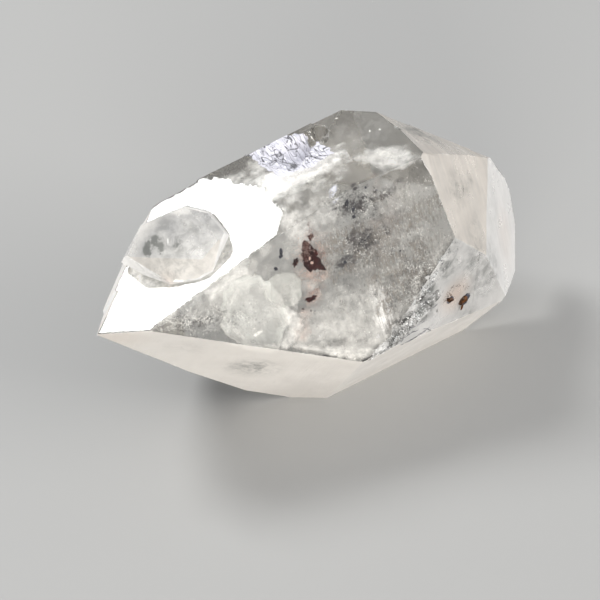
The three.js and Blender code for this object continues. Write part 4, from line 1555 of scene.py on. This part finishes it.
skin_out = point_normals(skin_points, skin_triangles)
# Ridge points that carry white chips: bruises in the quartz and painted edge highlight.
bruised_and_highlit = layered_noise(skin_points, (1, 1.6, 70), (0.7, 0.5, 71)) > BRUISE_AND_HIGHLIGHT_LEAST
bruised_and_highlit &= nearness(skin_points, *CORNER_CLEAN) == 0
crumbly = ragged_zone(HACKLES[CRUMBLY][:3], 72, CRUMBLY_LEAST)
dusty = ragged_zone(CORNER_DUSTED, 73, DUSTY_LEAST)
chip_white = pale_material("bruised_quartz_and_highlights", (0.97, 0.97, 0.96, 1), (0.8, 0.82, 0.82, 1), 2000.0, 0.4)
BITS = {
    # name: (points of the skin, how many, how deep and how large in mm, material)
    # Painted edge highlight and bruises: white chips along the ridges.
    "edge_bruises_and_highlights": (skin_ridge & bruised_and_highlit, 4200, 0.02, 0.02, chip_white),
    "edge_crumbs": (crumbly, 700, 0.03, 0.045, chip_white),
    "corner_crumbs": (dusty, 700, 0.01, 0.03, chip_white),
    "corner_dust": (dusty, 500, 0.01, 0.028, speck),
}
for name, (chosen, count, sink, size, material) in BITS.items():
    grains(name, on_skin(chosen, count, rng, sink), size, material, rng)

# %% [markdown]
# ## Hairline cracks and stain crumbs
# Below the crumbled edge a few dark cracks run side by side, and brown crumbs ring the amber drops. A crack
# could be cut into the skin, but the skin's triangles are far wider than a hair. So it is a flat thread: a
# diamond carried along a wandering path on the skin, thin at both ends.

# %% A thread on the skin
CRACK_STEPS = 90
CRACK_SINK = 0.01
CRACK_THINNEST = 0.002
CRACK_HEIGHT = 0.6


def snapped(points, normal, sink):
    """Points moved along a face's normal to the height of the nearest point of the skin, and then sunk."""
    near = ((points[:, None] - skin_points[None]) ** 2).sum(axis=2).argmin(axis=1)
    above = ((points - skin_points[near]) @ normal)[:, None]
    return points - (above + sink) * normal


def thread_faces(steps):
    """The triangles of a four-sided thread, with both ends closed."""
    here = 4 * np.arange(steps - 1)[:, None] + np.arange(4)
    there = 4 * np.arange(steps - 1)[:, None] + (np.arange(4) + 1) % 4
    quads = np.stack([here, there, there + 4, here + 4], axis=-1).reshape(-1, 4)
    last = 4 * (steps - 1)
    ends = np.array([[0, 2, 1], [0, 3, 2], [last, last + 1, last + 2], [last, last + 2, last + 3]])
    return np.vstack([quads[:, [0, 1, 2]], quads[:, [0, 2, 3]], ends])


def crack(waypoints, width, normal, seed):
    """A diamond carried along a path between waypoints. The path and the width wander by noise.

    Half the width goes as the root of the sine of the way along, so it is widest in the middle.
    """
    share, waypoints = np.linspace(0, 1, CRACK_STEPS), np.array(waypoints)
    knots = np.linspace(0, 1, len(waypoints))
    path = np.stack([np.interp(share, knots, waypoints[:, i]) for i in range(3)], axis=1)
    side = unit(np.cross(np.gradient(path, axis=0), normal))
    wander = layered_noise(path, (0.07, 0.5, seed), (0.04, 0.15, seed + 1))
    path = snapped(path + wander[:, None] * side, normal, CRACK_SINK)
    radius = width * np.sqrt(np.sin(np.pi * share)) * (1 + 0.6 * soft_noise(path, 0.2, seed + 2))
    radius = radius + CRACK_THINNEST
    rise = normal * CRACK_HEIGHT * np.ones_like(side)
    ring = np.stack([side, rise, -side, -rise], axis=1)
    return (path[:, None] + ring * radius[:, None, None]).reshape(-1, 3), thread_faces(CRACK_STEPS)


print("points along a thread:", CRACK_STEPS)

# %% Every crack
CRACK_SEED = 50
CRACKS = {
    # name: (places along it, half its width in mm)
    "low": ([(1.76, -8.67, 7.83), (2.93, -8.49, 7.6), (4.24, -8.24, 7.41), (5.35, -8.02, 7.43)], 0.05),
    "middle": ([(1.9, -8.6, 8.3), (2.92, -8.46, 8.2), (3.7, -8.3, 8.0)], 0.045),
    "high": ([(2.7, -8.5, 8.8), (3.6, -8.35, 8.5), (4.6, -8.15, 8.4)], 0.045),
    "branch": ([(3.9, -8.3, 7.8), (4.5, -8.2, 7.5), (4.9, -8.1, 7.0)], 0.035),
    "far": ([(4.6, -8.2, 9.3), (5.3, -8.05, 9.1), (5.9, -7.95, 9.2)], 0.035),
}
corner_across, corner_upward, corner_normal = face_frame(CORNER)
cracks = [crack(*row, corner_normal, CRACK_SEED + number) for number, row in enumerate(CRACKS.values())]
surface_object("hairline_cracks", *joined(cracks), speck)

# %% Brown crumbs
CRUMBS = 90
CRUMB_MIDDLE = (7.35, -7.6, 8.6)
CRUMB_TURNS, CRUMB_REACH = (0.1, 3.0), (1.15, 0.16)
CRUMB_SIZE = 0.035

turn, away = rng.uniform(*CRUMB_TURNS, CRUMBS), rng.normal(*CRUMB_REACH, CRUMBS)
crumbs = CRUMB_MIDDLE + np.outer(away * np.cos(turn), corner_across)
crumbs += np.outer(away * np.sin(turn), corner_upward)
grains("brown_crumbs", snapped(crumbs, corner_normal, 0.0), CRUMB_SIZE, amber, rng)

# %% [markdown]
# ## The pale ghost
# Low on the left, the crystal holds two pale rounded forms, the ghost of an earlier growth that was dusted
# white and then grown over. Such a film looks thickest at its rim, where it is seen edge on. That could
# follow the angle of view, but then it would not survive an export. Instead each ghost is a lens like the
# flakes, which knows how near its points are to the rim, and the material's alpha grows with that.

# %% Ghost films
GHOST_DEEP = (0.82, 0.85, 0.82, 1)
GHOST_FEATURES = 900.0
GHOST_SEED, GHOST_CURL = 60, 0.25


def film_material(name, pale, thin, solid, glow):
    """A pale film whose alpha grows from thin to solid towards the rim, broken by noise."""
    material, shader = plain_material(name, pale, 0.5)
    tree = material.node_tree
    place = object_place(tree)
    edge = spread(tree, attribute(tree, "edge"), 0, 1, thin, solid)
    cloudy = spread(tree, noise_of(tree, place, GHOST_FEATURES, 5.0), 0.3, 0.7, 0.45, 1.2)
    tree.links.new(reckon(tree, "MULTIPLY", edge, cloudy, clamp=True), shader.inputs["Alpha"])
    two_tones(tree, place, pale, GHOST_DEEP, GHOST_FEATURES * 0.5)
    add_glow(shader, pale, glow)
    return material


ghost_film = film_material("ghost_film", (0.96, 0.955, 0.93, 1), 0.26, 0.8, 0.25)
grey_film = film_material("grey_film", (0.68, 0.68, 0.65, 1), 0.42, 0.6, 0.1)
GHOSTS = {
    # name: (centre, outline in mm across and up, thickness, ragged, film)
    "ghost_lobe": (
        (-7.7, -3.9, 12.1),
        [(-1.08, 2.9), (-2.2, 1.35), (-2.3, 0.15), (-1.95, -1.3), (-0.6, -2.0), (0.86, -2.75),
         (1.8, -2.8), (2.2, -1.5), (2.7, -0.5), (2.2, 0.6), (1.4, 2.1), (0.3, 2.85)],
        0.55, 0.08, ghost_film),
    "ghost_lobe_upper": (
        (-5.0, -4.0, 13.3),
        [(-1.45, 0.45), (-0.8, 1.15), (0.15, 1.2), (0.9, 0.85), (1.15, 0.0), (1.0, -0.9),
         (0.1, -1.3), (-0.95, -1.15)], 0.4, 0.06, grey_film),
}
for number, (name, values) in enumerate(GHOSTS.items()):
    flake(name, *values, GHOST_SEED + number, curl=GHOST_CURL)
